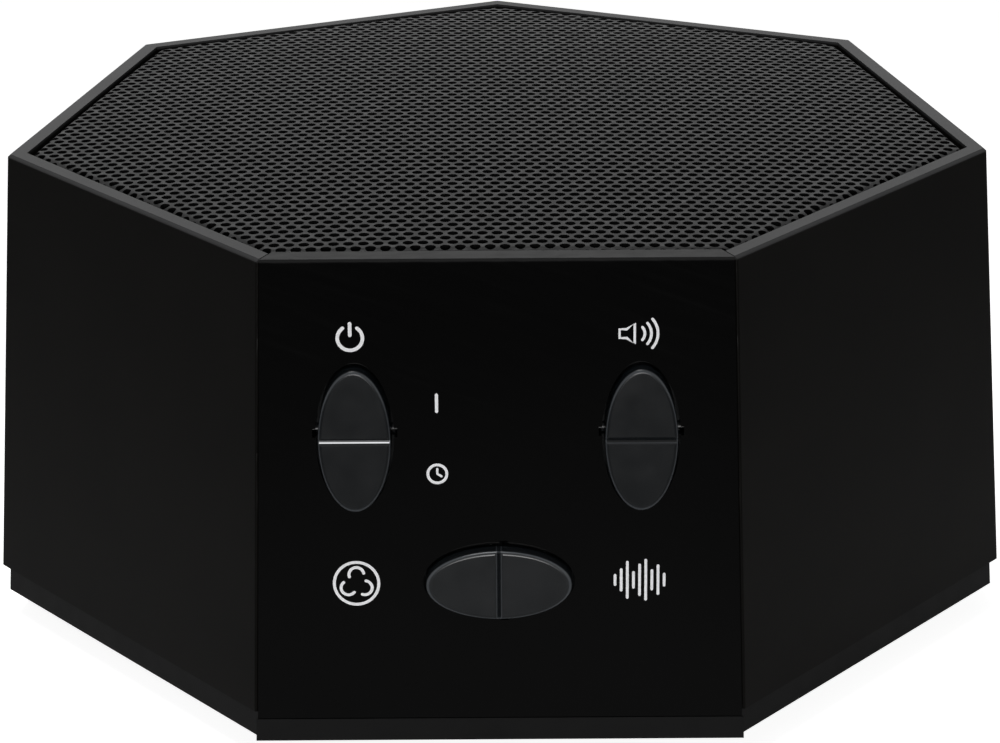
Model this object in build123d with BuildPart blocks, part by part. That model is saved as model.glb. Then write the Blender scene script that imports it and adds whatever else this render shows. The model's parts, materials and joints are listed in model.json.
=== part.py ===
from build123d import *
import os
from math import cos, pi, radians, sin, tan

os.makedirs("parts", exist_ok=True)

# White noise sound machine, in millimetres. +Z is up, the front faces -Y, and the feet rest on Z = 0.
# The body is a seven-sided prism whose walls lean in as they rise, with a flat at the front.

# Body
sides = 7
shell_width = 111.8  # corner to corner over the shell's lower edge
body_height = 50.9  # underside of the base to the rim
wall_lean = 3.34  # degrees
wall = 2.0
rim_width = 1.9
corner_rounding = 0.5
front_corner_rounding = 0.25
rim_bevel = 0.3
foot_stand = 3.0  # how far the feet hold the base off the table
plinth_band = 3.1  # height of the base's band below the shell
plinth_inset = 0.8
front_lip = 2.35  # height of the base's band where it is flush with the front panel

# Front panel
panel_thickness = 2.4
panel_gap = 0.1
mitre_gap = 0.15
front_wall = 2.0
window_width = 42.0
window_top = 7.5  # down the face from the rim
window_bottom = 44.5
clip_reach = 0.6
clip_thickness = 1.1
clip_width = 4.0
clip_rows = (11.0, 30.0)  # down the face from the rim

# Grille and the deck below it
grille_sheet = 0.7
grille_skirt = 3.8  # its folded edge stands on the deck and is level with the rim
grille_gap = 0.3
grille_bend = 0.2  # inside radius of the fold round its top
grille_corner = 0.5  # inside radius of its upright corners
grille_crown = 0.8  # how much the sheet swells from the middle of each side to its centre
opening_pitch = 7.6  # coarse openings that let the sound through, rows staggered
opening_flat = 4.7  # across the flats of each six-sided opening
opening_edge = 4.2  # least distance from an opening's centre to the grille's edge
tab_width = 4.0
tab_length = 3.2
tab_clearance = 0.3
deck_thickness = 2.0
deck_rib_depth = 2.2
deck_rib_thickness = 1.2

# Rocker keys
key_long = 14.8
key_short = 7.3
key_proud = 1.6
key_edge = 0.4
key_wall = 1.2
key_gap = 0.3
key_flange = 0.95
flange_thickness = 0.8
flange_clearance = 0.6
key_spacing = 14.3  # upper keys either side of the centre line
upper_key_down = 18.45  # down the face from the rim
lower_key_down = 33.7
groove_width = 0.8
groove_depth = 0.3
web_thickness = 2.2
hinge_depth = 3.4
hinge_pin_radius = 0.8
hinge_clearance = 0.05
lug_wall = 0.85
lug_thickness = 1.2
lug_gap = 0.3
lug_mouth = 1.3
foot_radius = 0.5
switch_reach = 4.9  # from the hinge line to each switch
light_bar_width = 0.3
light_bar_length = 7.0
light_bar_stem = 5.0
light_bar_head = 0.8
light_bar_clearance = 0.03

# Switches and control board
switch_gap = 0.08
plunger_radius = 1.7
plunger_proud = 0.97
plunger_seat = 0.8
plunger_clearance = 0.05
plunger_well = 1.3
switch_size = 6.0
switch_height = 3.5
board_thickness = 1.6
control_board_width = 37.6
control_board_top = 8.5
control_board_bottom = body_height - 7.4
post_radius = 2.25
low_post_down = control_board_bottom - 5.5
post_places = ((0.0, 12.0), (-16.4, low_post_down), (16.4, low_post_down))  # across and down the face
led_radius = 1.4
led_height = 3.2

# Loudspeaker
frame_radius = 35.0
frame_sheet = 1.0
gasket_thickness = 0.8
speaker_opening = frame_radius - 5.5
basket_ledge = body_height - 41.8  # below the flange's underside
basket_depth = body_height - 34.6
spider_radius = 17.5
basket_step = 2.8
basket_floor_hole = 9.0
window_count = 4
spoke_width = 9.0
surround_width = 4.0
surround_lip = 1.0
surround_sheet = 0.4
cone_sheet = 0.4
cone_neck_below_flange = body_height - 43.6
coil_bore = 7.45
former_wall = 0.2
winding_wall = 0.3
winding_length = 6.0
former_length = 15.4
coil_clearance = 0.25
dust_cap_radius = 10.0
dust_cap_rise = 2.4
dust_cap_sheet = 0.4
glue_gap = 0.02
top_plate_radius = 20.0
top_plate_thickness = 3.0
magnet_radius = 22.5
magnet_bore = 11.0
magnet_thickness = 8.0
yoke_thickness = 3.0
speaker_screw_circle = frame_radius - 2.7

# Base, boards and inlet
base_floor = 2.5
base_ledge = 3.2
rib_thickness = 1.2
rib_height = 3.0
rib_clearance = 0.25
shell_boss_radius = 3.5
shell_boss_top = 30.0
side_boss_reach = shell_width / 2 - 10.9  # from the body's axis
rear_boss_reach = shell_width / 2 - 7.9
base_boss_height = 2.5
base_boss_gap = 0.1
foot_pad_radius = 5.0
foot_recess = 0.8
foot_reach = shell_width / 2 - 15.9
front_foot_angle = 30.0
rear_foot_angle = 140.0
standoff_height = 3.0
standoff_radius = 3.0
main_board_flat = shell_width / 2 - 9.9
main_board_half_width = 30.0
main_board_front = shell_width / 2 - 35.9
board_screw_edge = 4.0  # from the main board's edges to its screws
main_board_rear_row = 24.0
main_board_screws = [
    (side * (main_board_half_width - board_screw_edge), row)
    for row in (board_screw_edge - main_board_front, main_board_rear_row)
    for side in (-1, 1)
]
jack_width = 9.0
jack_height = 11.0
jack_length = 14.0
jack_bore = 2.9
jack_bore_depth = 10.0
jack_bore_height = 6.5
jack_pin_radius = 1.05
jack_pin_recess = 0.8
jack_tail_radius = 0.7
jack_wall_gap = 1.1
inlet_radius = 4.5

# Fasteners
screw_clearance = 0.05
base_screw = (1.4, 2.8, 2.0, 11.0)  # shank radius, head radius, head height, shank length
speaker_screw = (1.2, 2.3, 1.5, 4.8)
board_screw = (1.2, 2.2, 1.4, 5.0)

# Heights
base_underside = foot_stand
shell_bottom = base_underside + plinth_band
rim_top = base_underside + body_height
grille_top = rim_top
deck_top = grille_top - grille_skirt
deck_bottom = deck_top - deck_thickness
flange_top = deck_bottom - gasket_thickness
flange_bottom = flange_top - frame_sheet
floor_top = base_underside + base_floor
main_board_bottom = floor_top + standoff_height
main_board_top = main_board_bottom + board_thickness

# The body's section
half_side = tan(pi / sides)
shell_flat = shell_width / 2 / sin(3 * pi / sides) * cos(pi / sides)
side_step = 360 / sides
axis_y = -shell_flat * (1 / cos(pi / sides) - 1) / 2  # centres the footprint on the origin
body_axis = Axis((0, axis_y, 0), (0, 0, 1))


def flat_at(height):
    """Distance from the body's axis to its outer faces at a height."""
    return shell_flat + (shell_bottom - height) * tan(radians(wall_lean))


def level(height):
    """A horizontal plane at a height, centred on the body's axis."""
    return Plane((0, axis_y, height))


def seven_sided(flat, front_flat):
    """Sketch the body's outline with its flats at one distance and its front flat nearer the axis."""
    RegularPolygon(flat, side_count=sides, major_radius=False, rotation=90)
    with Locations((0, -front_flat)):
        Rectangle(3 * flat, flat, align=(Align.CENTER, Align.MAX), mode=Mode.SUBTRACT)


def front_slab(depth, low, high, end_gap=0.0, proud=0.0):
    """A slab of the body's front face, this deep, whose ends are mitred on the corners' bisectors."""
    with BuildPart() as slab:
        for height in (low, high):
            front = flat_at(height) + proud
            rear = flat_at(height) - depth
            front_end = half_side * front - end_gap
            rear_end = half_side * rear - end_gap
            with BuildSketch(level(height)):
                Polygon(
                    (-front_end, -front),
                    (front_end, -front),
                    (rear_end, -rear),
                    (-rear_end, -rear),
                    align=None,
                )
        loft(ruled=True)
    return slab.part


def ring(inner, outer, low, high):
    """A flat ring about the body's axis between two heights."""
    with BuildPart() as piece:
        with BuildSketch(level(low)):
            Circle(outer)
            Circle(inner, mode=Mode.SUBTRACT)
        extrude(amount=high - low)
    return piece.part


def screws(places, size):
    """Pan-head screws: each plane lies under its head and faces the way the head points."""
    shank_radius, head_radius, head_height, shank_length = size
    with BuildPart() as group:
        for place in places:
            with BuildSketch(place):
                Circle(head_radius)
            extrude(amount=head_height)
            fillet(group.edges(Select.LAST).group_by(Axis(place.origin, place.z_dir))[-1], head_height / 3)
            with BuildSketch(place):
                Circle(shank_radius)
            extrude(amount=-shank_length)
            with BuildSketch(place.offset(head_height)):
                Rectangle(head_radius, head_radius / 4)
                Rectangle(head_radius / 4, head_radius)
            extrude(amount=-head_height / 2, mode=Mode.SUBTRACT)
    return group.part


# The front face, its origin at the middle of the rim's front edge: x across, y up the face, z outwards.
lean = radians(wall_lean)
face = Plane((0, axis_y - flat_at(rim_top), rim_top), x_dir=(1, 0, 0), z_dir=(0, -cos(lean), sin(lean)))


def on_face(across, down, x_dir=(1, 0, 0)):
    """A plane on the front face at this distance across it and down from the rim."""
    return Plane(face.from_local_coords((across, -down, 0)), x_dir=x_dir, z_dir=face.z_dir)


# Each key's plane has its x direction along the hinge line and its y direction along the oval.
key_planes = {
    "power": on_face(-key_spacing, upper_key_down),
    "volume": on_face(key_spacing, upper_key_down),
    "sound": on_face(0, lower_key_down, x_dir=-face.y_dir),
}
key_base = panel_thickness + flange_clearance + flange_thickness
key_foot_tip = key_base + 0.95
control_board_depth = key_foot_tip + switch_gap + plunger_proud + switch_height
pin_half_length = key_short / 2 + key_flange + lug_gap + lug_thickness

# ---------------------------------------------------------------- housing

with BuildPart() as outer_form:
    with BuildSketch(level(shell_bottom)):
        RegularPolygon(shell_flat, side_count=sides, major_radius=False, rotation=90)
    extrude(amount=rim_top - shell_bottom, taper=wall_lean)
    # the corners are rounded, all but the two that meet the front panel
    fillet(outer_form.edges().group_by(Axis.Z)[1].sort_by(Axis.Y)[2:], corner_rounding)
    chamfer(outer_form.faces().sort_by(Axis.Z)[-1].edges(), rim_bevel)

boss_places = [
    (side_boss_reach, -90 + side_step),
    (side_boss_reach, -90 - side_step),
    (rear_boss_reach, -90 + 2.5 * side_step),
    (rear_boss_reach, -90 - 2.5 * side_step),
]
shell_boss_bottom = floor_top + base_boss_height + base_boss_gap
front_depth = panel_thickness + panel_gap + front_wall
rear_direction = -90 + 3 * side_step
rear_normal = Vector(1, 0, 0).rotate(Axis.Z, rear_direction)
jack_axis_height = main_board_top + jack_bore_height
jack_front = flat_at(jack_axis_height) - wall - jack_wall_gap
inlet_plane = Plane(
    Vector(0, axis_y, jack_axis_height) + rear_normal * jack_front,
    x_dir=rear_normal.cross(Vector(0, 0, 1)) * -1,
    z_dir=rear_normal,
)
speaker_screw_angles = [45, 135, 225, 315]

with BuildPart() as housing_shell:
    add(outer_form.part)
    # the hollow below the deck
    with BuildSketch(level(shell_bottom)):
        seven_sided(shell_flat - wall, shell_flat - front_depth)
    extrude(amount=deck_bottom - shell_bottom, taper=wall_lean, mode=Mode.SUBTRACT)
    # the pocket for the grille
    with BuildSketch(level(deck_top)):
        seven_sided(flat_at(rim_top) - rim_width, flat_at(rim_top))
    extrude(amount=rim_top - deck_top, mode=Mode.SUBTRACT)
    # bosses for the base screws, each with a rib to the wall
    for reach, angle in boss_places:
        with BuildSketch(level(shell_boss_bottom)):
            with PolarLocations(reach, 1, start_angle=angle):
                Circle(shell_boss_radius)
                Rectangle(2 * wall + shell_flat - reach, wall, align=(Align.MIN, Align.CENTER))
        extrude(amount=shell_boss_top - shell_boss_bottom)
    # ribs below the deck from the loudspeaker's seat to the corners
    with BuildSketch(level(deck_bottom - deck_rib_depth)):
        with PolarLocations(frame_radius + 1.5, sides, start_angle=-90 + side_step / 2):
            Rectangle(shell_flat - frame_radius, deck_rib_thickness, align=(Align.MIN, Align.CENTER))
        Circle(frame_radius + 2.5)
        Circle(frame_radius + 1.0, mode=Mode.SUBTRACT)
    extrude(amount=deck_rib_depth)
    # raised seats round the loudspeaker's screws
    with BuildSketch(level(deck_top)):
        for angle in speaker_screw_angles:
            with PolarLocations(speaker_screw_circle, 1, start_angle=angle):
                Circle(2.6)
    extrude(amount=1.4)
    add(outer_form.part, mode=Mode.INTERSECT)
    # the front panel's seat and the window behind it
    add(front_slab(panel_thickness + panel_gap, shell_bottom - 1, rim_top + 1, proud=1), mode=Mode.SUBTRACT)
    long_edges = housing_shell.edges().filter_by(lambda edge: edge.length > rim_top - shell_bottom - 1)
    uprights = long_edges.filter_by(lambda edge: abs((edge @ 0).Z - (edge @ 1).Z) > 1)
    fillet(uprights.sort_by(Axis.Y)[:2], front_corner_rounding)
    with BuildSketch(face):
        with Locations((0, -(window_top + window_bottom) / 2)):
            Rectangle(window_width, window_bottom - window_top)
    extrude(amount=-front_depth - 1, mode=Mode.SUBTRACT)
    # openings: loudspeaker, grille tabs, power inlet
    with BuildSketch(level(deck_bottom)):
        Circle(speaker_opening)
        with PolarLocations(
            flat_at(rim_top) - rim_width - grille_gap - grille_sheet / 2,
            sides - 1,
            start_angle=-90 + side_step,
            angular_range=360 - 2 * side_step,
            endpoint=True,
        ):
            Rectangle(grille_sheet + 2 * tab_clearance, tab_width + 2 * tab_clearance)
    extrude(amount=deck_thickness, mode=Mode.SUBTRACT)
    with BuildSketch(inlet_plane):
        Circle(inlet_radius)
    extrude(amount=2 * jack_length, mode=Mode.SUBTRACT)
    # pilot holes
    for reach, angle in boss_places:
        with BuildSketch(level(shell_boss_bottom)):
            with PolarLocations(reach, 1, start_angle=angle):
                Circle(base_screw[0] + screw_clearance)
        extrude(amount=base_screw[3], mode=Mode.SUBTRACT)
    for angle in speaker_screw_angles:
        with BuildSketch(level(deck_bottom)):
            with PolarLocations(speaker_screw_circle, 1, start_angle=angle):
                Circle(speaker_screw[0] + screw_clearance)
        extrude(amount=deck_thickness + 1.0, mode=Mode.SUBTRACT)
housing_shell.part.label = "housing_shell"
export_step(housing_shell.part, "parts/housing_shell.step")

with BuildPart() as front_panel:
    add(front_slab(panel_thickness, base_underside + front_lip + panel_gap, rim_top, end_gap=mitre_gap))
    # hinge lugs: hooks open to the rear, two to a key
    lug_radius = hinge_pin_radius + lug_wall
    for place in key_planes.values():
        for side in (-1, 1):
            lug_plane = Plane(
                place.from_local_coords((side * (pin_half_length - lug_thickness / 2), 0, 0)),
                x_dir=place.y_dir,
                z_dir=place.x_dir,
            )
            with BuildSketch(lug_plane):
                with Locations((0, -panel_thickness / 2)):
                    lug_reach = hinge_depth - panel_thickness / 2
                    Rectangle(2 * lug_radius, lug_reach, align=(Align.CENTER, Align.MAX))
                with Locations((0, -hinge_depth)):
                    Circle(lug_radius)
                    Circle(hinge_pin_radius + hinge_clearance, mode=Mode.SUBTRACT)
                    open_end = (Align.CENTER, Align.MAX)
                    Rectangle(lug_mouth, 3 * lug_radius, align=open_end, mode=Mode.SUBTRACT)
            extrude(amount=lug_thickness / 2, both=True)
    # posts for the control board
    for across, down in post_places:
        with BuildSketch(on_face(across, down).offset(-control_board_depth)):
            Circle(post_radius)
        extrude(amount=control_board_depth - panel_thickness / 2)
        with BuildSketch(on_face(across, down).offset(-control_board_depth)):
            Circle(board_screw[0] + screw_clearance)
        extrude(amount=board_screw[3], mode=Mode.SUBTRACT)
    # snap clips that hook behind the window's edges
    for down in clip_rows:
        row = Plane(face.from_local_coords((0, -down, 0)), x_dir=(1, 0, 0), z_dir=-face.y_dir)
        for side in (-1, 1):
            edge = side * (window_width / 2 - 0.3)
            hook = edge + side * (0.3 + clip_reach)
            root = edge - side * clip_thickness
            with BuildSketch(row):
                Polygon(
                    (root, -panel_thickness / 2),
                    (edge, -panel_thickness / 2),
                    (edge, -front_depth - panel_gap),
                    (hook, -front_depth - panel_gap),
                    (edge, -front_depth - 1.3),
                    (root, -front_depth - 1.3),
                    align=None,
                )
            extrude(amount=clip_width / 2, both=True)
    # oval holes for the keys, notched at the hinge line
    for place in key_planes.values():
        with BuildSketch(place):
            Ellipse(key_short / 2 + key_gap, key_long / 2 + key_gap)
            with Locations((0, 0.5)):
                Rectangle(key_short + 2 * key_gap + 0.6, 0.9)
        extrude(amount=-panel_thickness, both=True, mode=Mode.SUBTRACT)
front_panel.part.label = "front_panel"
export_step(front_panel.part, "parts/front_panel.step")

grille_flat = flat_at(rim_top) - rim_width - grille_gap
grille_front = flat_at(rim_top) - panel_thickness - panel_gap - grille_gap
crown_radius = (grille_flat**2 + grille_crown**2) / (2 * grille_crown)
crown_centre = (0, axis_y, grille_top + grille_crown - crown_radius)


def distance_out(spot):
    """How far a point lies from the axis towards the side that it is nearest to."""
    return max(spot.dot(Vector(1, 0, 0).rotate(Axis.Z, -90 + k * side_step)) for k in range(sides))


opening_places = [
    Vector(opening_pitch * (column + row % 2 / 2), opening_pitch * cos(radians(30)) * row)
    for row in range(-7, 8)
    for column in range(-7, 8)
]
opening_places = [spot for spot in opening_places if distance_out(spot) < grille_front - opening_edge]

with BuildPart() as grille_hollow:
    with BuildSketch(level(deck_top - 1)):
        seven_sided(grille_flat - grille_sheet, grille_front - grille_sheet)
    extrude(amount=2 * grille_skirt)
    fillet(grille_hollow.edges().filter_by(Axis.Z), grille_corner)
    with Locations(crown_centre):
        Sphere(crown_radius - grille_sheet, rotation=(90, 0, 0), mode=Mode.INTERSECT)
    fillet(grille_hollow.faces().sort_by(Axis.Z)[-1].edges(), grille_bend)

with BuildPart() as grille:
    with BuildSketch(level(deck_top)):
        seven_sided(grille_flat, grille_front)
    extrude(amount=2 * grille_skirt)
    fillet(grille.edges().filter_by(Axis.Z), grille_corner + grille_sheet)
    with Locations(crown_centre):
        Sphere(crown_radius, rotation=(90, 0, 0), mode=Mode.INTERSECT)
    add(grille_hollow.part, mode=Mode.SUBTRACT)
    fillet(grille.faces().sort_by(Axis.Z)[-1].edges(), grille_bend + grille_sheet)
    with BuildSketch(level(deck_top)):
        with Locations(*opening_places):
            RegularPolygon(opening_flat / 2, side_count=6, major_radius=False, rotation=30)
    extrude(amount=2 * grille_skirt, mode=Mode.SUBTRACT)
    with BuildSketch(level(deck_top - tab_length)):
        with PolarLocations(
            grille_flat - grille_sheet / 2,
            sides - 1,
            start_angle=-90 + side_step,
            angular_range=360 - 2 * side_step,
            endpoint=True,
        ):
            Rectangle(grille_sheet, tab_width)
    extrude(amount=tab_length)
grille.part.label = "grille"
export_step(grille.part, "parts/grille.step")

# ---------------------------------------------------------------- base

foot_angles = {
    "front_left": -90 - front_foot_angle,
    "front_right": -90 + front_foot_angle,
    "rear_left": -90 - rear_foot_angle,
    "rear_right": -90 + rear_foot_angle,
}
lip_top = base_underside + front_lip
base_flat = flat_at(base_underside)
shell_inside = flat_at(floor_top + rib_height) - wall
shell_inside_front = flat_at(floor_top + rib_height) - front_depth

with BuildPart() as base_plate:
    with BuildSketch(level(base_underside)):
        RegularPolygon(base_flat - plinth_inset, side_count=sides, major_radius=False, rotation=90)
    extrude(amount=plinth_band, taper=wall_lean)
    # the front band comes out flush with the panel above it
    add(front_slab(base_ledge, base_underside, lip_top))
    add(front_slab(panel_thickness + panel_gap, lip_top, rim_top, proud=1), mode=Mode.SUBTRACT)
    # the tray inside the ledge
    with BuildSketch(level(floor_top)):
        seven_sided(base_flat - plinth_inset - base_ledge, base_flat - front_depth - 0.8)
    extrude(amount=plinth_band, mode=Mode.SUBTRACT)
    # the rib that locates the shell, broken at the shell's bosses
    with BuildSketch(level(floor_top)):
        seven_sided(shell_inside - rib_clearance, shell_inside_front - rib_clearance)
        with BuildSketch(mode=Mode.PRIVATE) as rib_hollow:
            seven_sided(
                shell_inside - rib_clearance - rib_thickness,
                shell_inside_front - rib_clearance - rib_thickness,
            )
        add(rib_hollow.sketch, mode=Mode.SUBTRACT)
        for reach, angle in boss_places:
            with PolarLocations(reach, 1, start_angle=angle):
                Rectangle(4 * shell_boss_radius, 2 * shell_boss_radius + 1, mode=Mode.SUBTRACT)
    extrude(amount=rib_height)
    # seats for the shell's bosses and standoffs for the main board
    with BuildSketch(level(floor_top)):
        for reach, angle in boss_places:
            with PolarLocations(reach, 1, start_angle=angle):
                Circle(shell_boss_radius)
    extrude(amount=base_boss_height)
    with BuildSketch(level(floor_top)):
        with Locations(*main_board_screws):
            Circle(standoff_radius)
    extrude(amount=standoff_height)
    # screw holes and their counterbores, foot recesses, pilot holes
    counterbore_depth = base_floor + base_boss_height - 2.6
    for reach, angle in boss_places:
        with BuildSketch(level(base_underside)):
            with PolarLocations(reach, 1, start_angle=angle):
                Circle(base_screw[0] + 0.3)
        extrude(amount=base_floor + base_boss_height, mode=Mode.SUBTRACT)
        with BuildSketch(level(base_underside)):
            with PolarLocations(reach, 1, start_angle=angle):
                Circle(base_screw[1] + 0.3)
        extrude(amount=counterbore_depth, mode=Mode.SUBTRACT)
    for angle in foot_angles.values():
        with BuildSketch(level(base_underside)):
            with PolarLocations(foot_reach, 1, start_angle=angle):
                Circle(foot_pad_radius + 0.15)
        extrude(amount=foot_recess, mode=Mode.SUBTRACT)
    with BuildSketch(level(main_board_bottom)):
        with Locations(*main_board_screws):
            Circle(board_screw[0] + screw_clearance)
    extrude(amount=-board_screw[3] + board_thickness - 0.3, mode=Mode.SUBTRACT)
base_plate.part.label = "base_plate"
export_step(base_plate.part, "parts/base_plate.step")

for name, angle in foot_angles.items():
    with BuildPart() as foot:
        with BuildSketch(level(0)):
            with PolarLocations(foot_reach, 1, start_angle=angle):
                Circle(foot_pad_radius)
        extrude(amount=foot_stand + foot_recess)
        fillet(foot.edges().sort_by(Axis.Z)[0], 0.6)
    foot.part.label = f"foot_{name}"
    export_step(foot.part, f"parts/foot_{name}.step")

base_screw_planes = []
for reach, angle in boss_places:
    spot = Vector(reach, 0, 0).rotate(Axis.Z, angle)
    height = base_underside + counterbore_depth
    base_screw_planes.append(Plane((spot.X, spot.Y + axis_y, height), x_dir=(1, 0, 0), z_dir=(0, 0, -1)))
base_screws = screws(base_screw_planes, base_screw)
base_screws.label = "base_screws"
export_step(base_screws, "parts/base_screws.step")

# ---------------------------------------------------------------- rocker keys and their switches

key_hollow = key_base + key_proud - key_wall
for name, place in key_planes.items():
    with BuildPart() as key:
        back = place.offset(-key_base)
        outward = Axis(place.origin, place.z_dir)
        with BuildSketch(back):
            Ellipse(key_short / 2, key_long / 2)
        extrude(amount=key_base + key_proud)
        fillet(key.faces().sort_by(outward)[-1].edges(), key_edge)
        # the groove along the hinge line
        with BuildSketch(Plane(place.offset(key_proud).origin, x_dir=place.y_dir, z_dir=place.x_dir)):
            Polygon((-groove_width / 2, 0.01), (groove_width / 2, 0.01), (0, -groove_depth), align=None)
        extrude(amount=key_short, both=True, mode=Mode.SUBTRACT)
        with BuildSketch(back):
            Ellipse(key_short / 2 + key_flange, key_long / 2 + key_flange)
        extrude(amount=flange_thickness)
        # cored out from behind, with a web left on the hinge line
        with BuildSketch(back):
            Ellipse(key_short / 2 - key_wall, key_long / 2 - key_wall)
            Rectangle(key_short, web_thickness, mode=Mode.SUBTRACT)
        extrude(amount=key_hollow, mode=Mode.SUBTRACT)
        # hinge pins
        with BuildSketch(Plane(place.offset(-hinge_depth).origin, x_dir=place.y_dir, z_dir=place.x_dir)):
            Circle(hinge_pin_radius)
        extrude(amount=pin_half_length, both=True)
        # feet that press the switches
        with BuildSketch(place.offset(-key_foot_tip)):
            with Locations((0, switch_reach), (0, -switch_reach)):
                Circle(foot_radius)
        extrude(amount=key_foot_tip + key_proud - key_wall / 2)
        if name == "power":
            slot = light_bar_clearance
            with BuildSketch(place.offset(key_proud)):
                Rectangle(light_bar_length + 2 * slot, light_bar_width + 2 * slot)
            extrude(amount=-light_bar_head - groove_depth, mode=Mode.SUBTRACT)
            with BuildSketch(place.offset(key_proud)):
                Rectangle(light_bar_stem + 2 * slot, light_bar_width + 2 * slot)
            extrude(amount=-2 * key_base, mode=Mode.SUBTRACT)
    key.part.label = f"{name}_rocker"
    export_step(key.part, f"parts/{name}_rocker.step")

with BuildPart() as light_bar:
    power = key_planes["power"]
    with BuildSketch(power.offset(key_proud - groove_depth / 2)):
        Rectangle(light_bar_length, light_bar_width)
    extrude(amount=-light_bar_head)
    with BuildSketch(power.offset(key_proud - groove_depth / 2)):
        Rectangle(light_bar_stem, light_bar_width)
    extrude(amount=-key_base - key_proud)
light_bar.part.label = "power_light_bar"
export_step(light_bar.part, "parts/power_light_bar.step")

switch_top = control_board_depth - switch_height
ends = {"power": ("upper", "lower"), "volume": ("upper", "lower"), "sound": ("right", "left")}
for name, place in key_planes.items():
    for end, way in zip(ends[name], (1, -1)):
        with BuildPart() as switch:
            with BuildSketch(place.offset(-control_board_depth)):
                with Locations((0, way * switch_reach)):
                    Rectangle(switch_size, switch_size)
            extrude(amount=switch_height)
            chamfer(switch.faces().sort_by(Axis(place.origin, place.z_dir))[-1].edges(), 0.3)
            with BuildSketch(place.offset(-switch_top)):
                with Locations((0, way * switch_reach)):
                    Circle(plunger_radius + plunger_clearance)
            extrude(amount=-plunger_well, mode=Mode.SUBTRACT)
        switch.part.label = f"{name}_switch_{end}"
        export_step(switch.part, f"parts/{name}_switch_{end}.step")
        with BuildPart() as plunger:
            with BuildSketch(place.offset(-switch_top - plunger_seat)):
                with Locations((0, way * switch_reach)):
                    Circle(plunger_radius)
            extrude(amount=plunger_seat + plunger_proud)
        plunger.part.label = f"{name}_plunger_{end}"
        export_step(plunger.part, f"parts/{name}_plunger_{end}.step")

with BuildPart() as control_board:
    board_down = (control_board_top + control_board_bottom) / 2
    with BuildSketch(on_face(0, board_down).offset(-control_board_depth)):
        Rectangle(control_board_width, control_board_bottom - control_board_top)
    extrude(amount=-board_thickness)
    for across, down in post_places:
        with BuildSketch(on_face(across, down).offset(-control_board_depth)):
            Circle(board_screw[0] + 0.2)
        extrude(amount=-board_thickness, mode=Mode.SUBTRACT)
control_board.part.label = "control_board"
export_step(control_board.part, "parts/control_board.step")

board_rear = control_board_depth + board_thickness
rear_facing = [
    Plane(on_face(across, down).offset(-board_rear).origin, x_dir=(1, 0, 0), z_dir=-face.z_dir)
    for across, down in post_places
]
control_board_screws = screws(rear_facing, board_screw)
control_board_screws.label = "control_board_screws"
export_step(control_board_screws, "parts/control_board_screws.step")

with BuildPart() as status_led:
    with BuildSketch(key_planes["power"].offset(-control_board_depth)):
        Circle(led_radius)
    extrude(amount=led_height)
    led_top = status_led.faces().sort_by(Axis(face.origin, face.z_dir))[-1]
    fillet(led_top.edges(), led_radius * 0.8)
status_led.part.label = "status_led"
export_step(status_led.part, "parts/status_led.step")

# ---------------------------------------------------------------- loudspeaker, facing up

section = Plane((0, axis_y, 0), x_dir=(1, 0, 0), z_dir=(0, -1, 0))  # x is the radius, y the height
ledge_height = flange_bottom - basket_ledge
basket_bottom = flange_bottom - basket_depth
neck_height = flange_top - cone_neck_below_flange
basket_outer = spider_radius + frame_sheet

with BuildPart() as speaker_frame:
    with BuildSketch(section):
        with BuildLine():
            Polyline(
                (frame_radius, flange_top),
                (speaker_opening - 1.1, flange_top),
                (spider_radius + basket_step, ledge_height),
                (spider_radius, ledge_height),
                (spider_radius, basket_bottom + frame_sheet),
                (basket_floor_hole, basket_bottom + frame_sheet),
                (basket_floor_hole, basket_bottom),
                (basket_outer, basket_bottom),
                (basket_outer, ledge_height - frame_sheet),
                (spider_radius + basket_step + frame_sheet, ledge_height - frame_sheet),
                (speaker_opening, flange_bottom),
                (frame_radius, flange_bottom),
                close=True,
            )
        make_face()
    revolve(axis=body_axis)
    with BuildSketch(level(ledge_height)):
        Circle(speaker_opening - 1.8)
        Circle(spider_radius + basket_step + 1.2, mode=Mode.SUBTRACT)
        with PolarLocations(0, window_count // 2, start_angle=0, angular_range=180):
            Rectangle(2 * frame_radius, spoke_width, mode=Mode.SUBTRACT)
    extrude(amount=flange_bottom - ledge_height, mode=Mode.SUBTRACT)
    with BuildSketch(level(flange_bottom)):
        for angle in speaker_screw_angles:
            with PolarLocations(speaker_screw_circle, 1, start_angle=angle):
                Circle(speaker_screw[0] + 0.3)
    extrude(amount=frame_sheet, mode=Mode.SUBTRACT)
speaker_frame.part.label = "speaker_frame"
export_step(speaker_frame.part, "parts/speaker_frame.step")

with BuildPart() as speaker_gasket:
    with BuildSketch(level(flange_top)):
        Circle(frame_radius)
        Circle(speaker_opening, mode=Mode.SUBTRACT)
        for angle in speaker_screw_angles:
            with PolarLocations(speaker_screw_circle, 1, start_angle=angle):
                Circle(speaker_screw[0] + 0.3, mode=Mode.SUBTRACT)
    extrude(amount=gasket_thickness)
speaker_gasket.part.label = "speaker_gasket"
export_step(speaker_gasket.part, "parts/speaker_gasket.step")

speaker_screw_planes = []
for angle in speaker_screw_angles:
    spot = Vector(speaker_screw_circle, 0, 0).rotate(Axis.Z, angle)
    seat = (spot.X, spot.Y + axis_y, flange_bottom)
    speaker_screw_planes.append(Plane(seat, x_dir=(1, 0, 0), z_dir=(0, 0, -1)))
speaker_screws = screws(speaker_screw_planes, speaker_screw)
speaker_screws.label = "speaker_screws"
export_step(speaker_screws, "parts/speaker_screws.step")

coil_outer = coil_bore + former_wall + winding_wall
top_plate_bottom = basket_bottom - top_plate_thickness
top_plate = ring(coil_outer + coil_clearance, top_plate_radius, top_plate_bottom, basket_bottom)
top_plate.label = "speaker_top_plate"
export_step(top_plate, "parts/speaker_top_plate.step")

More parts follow.
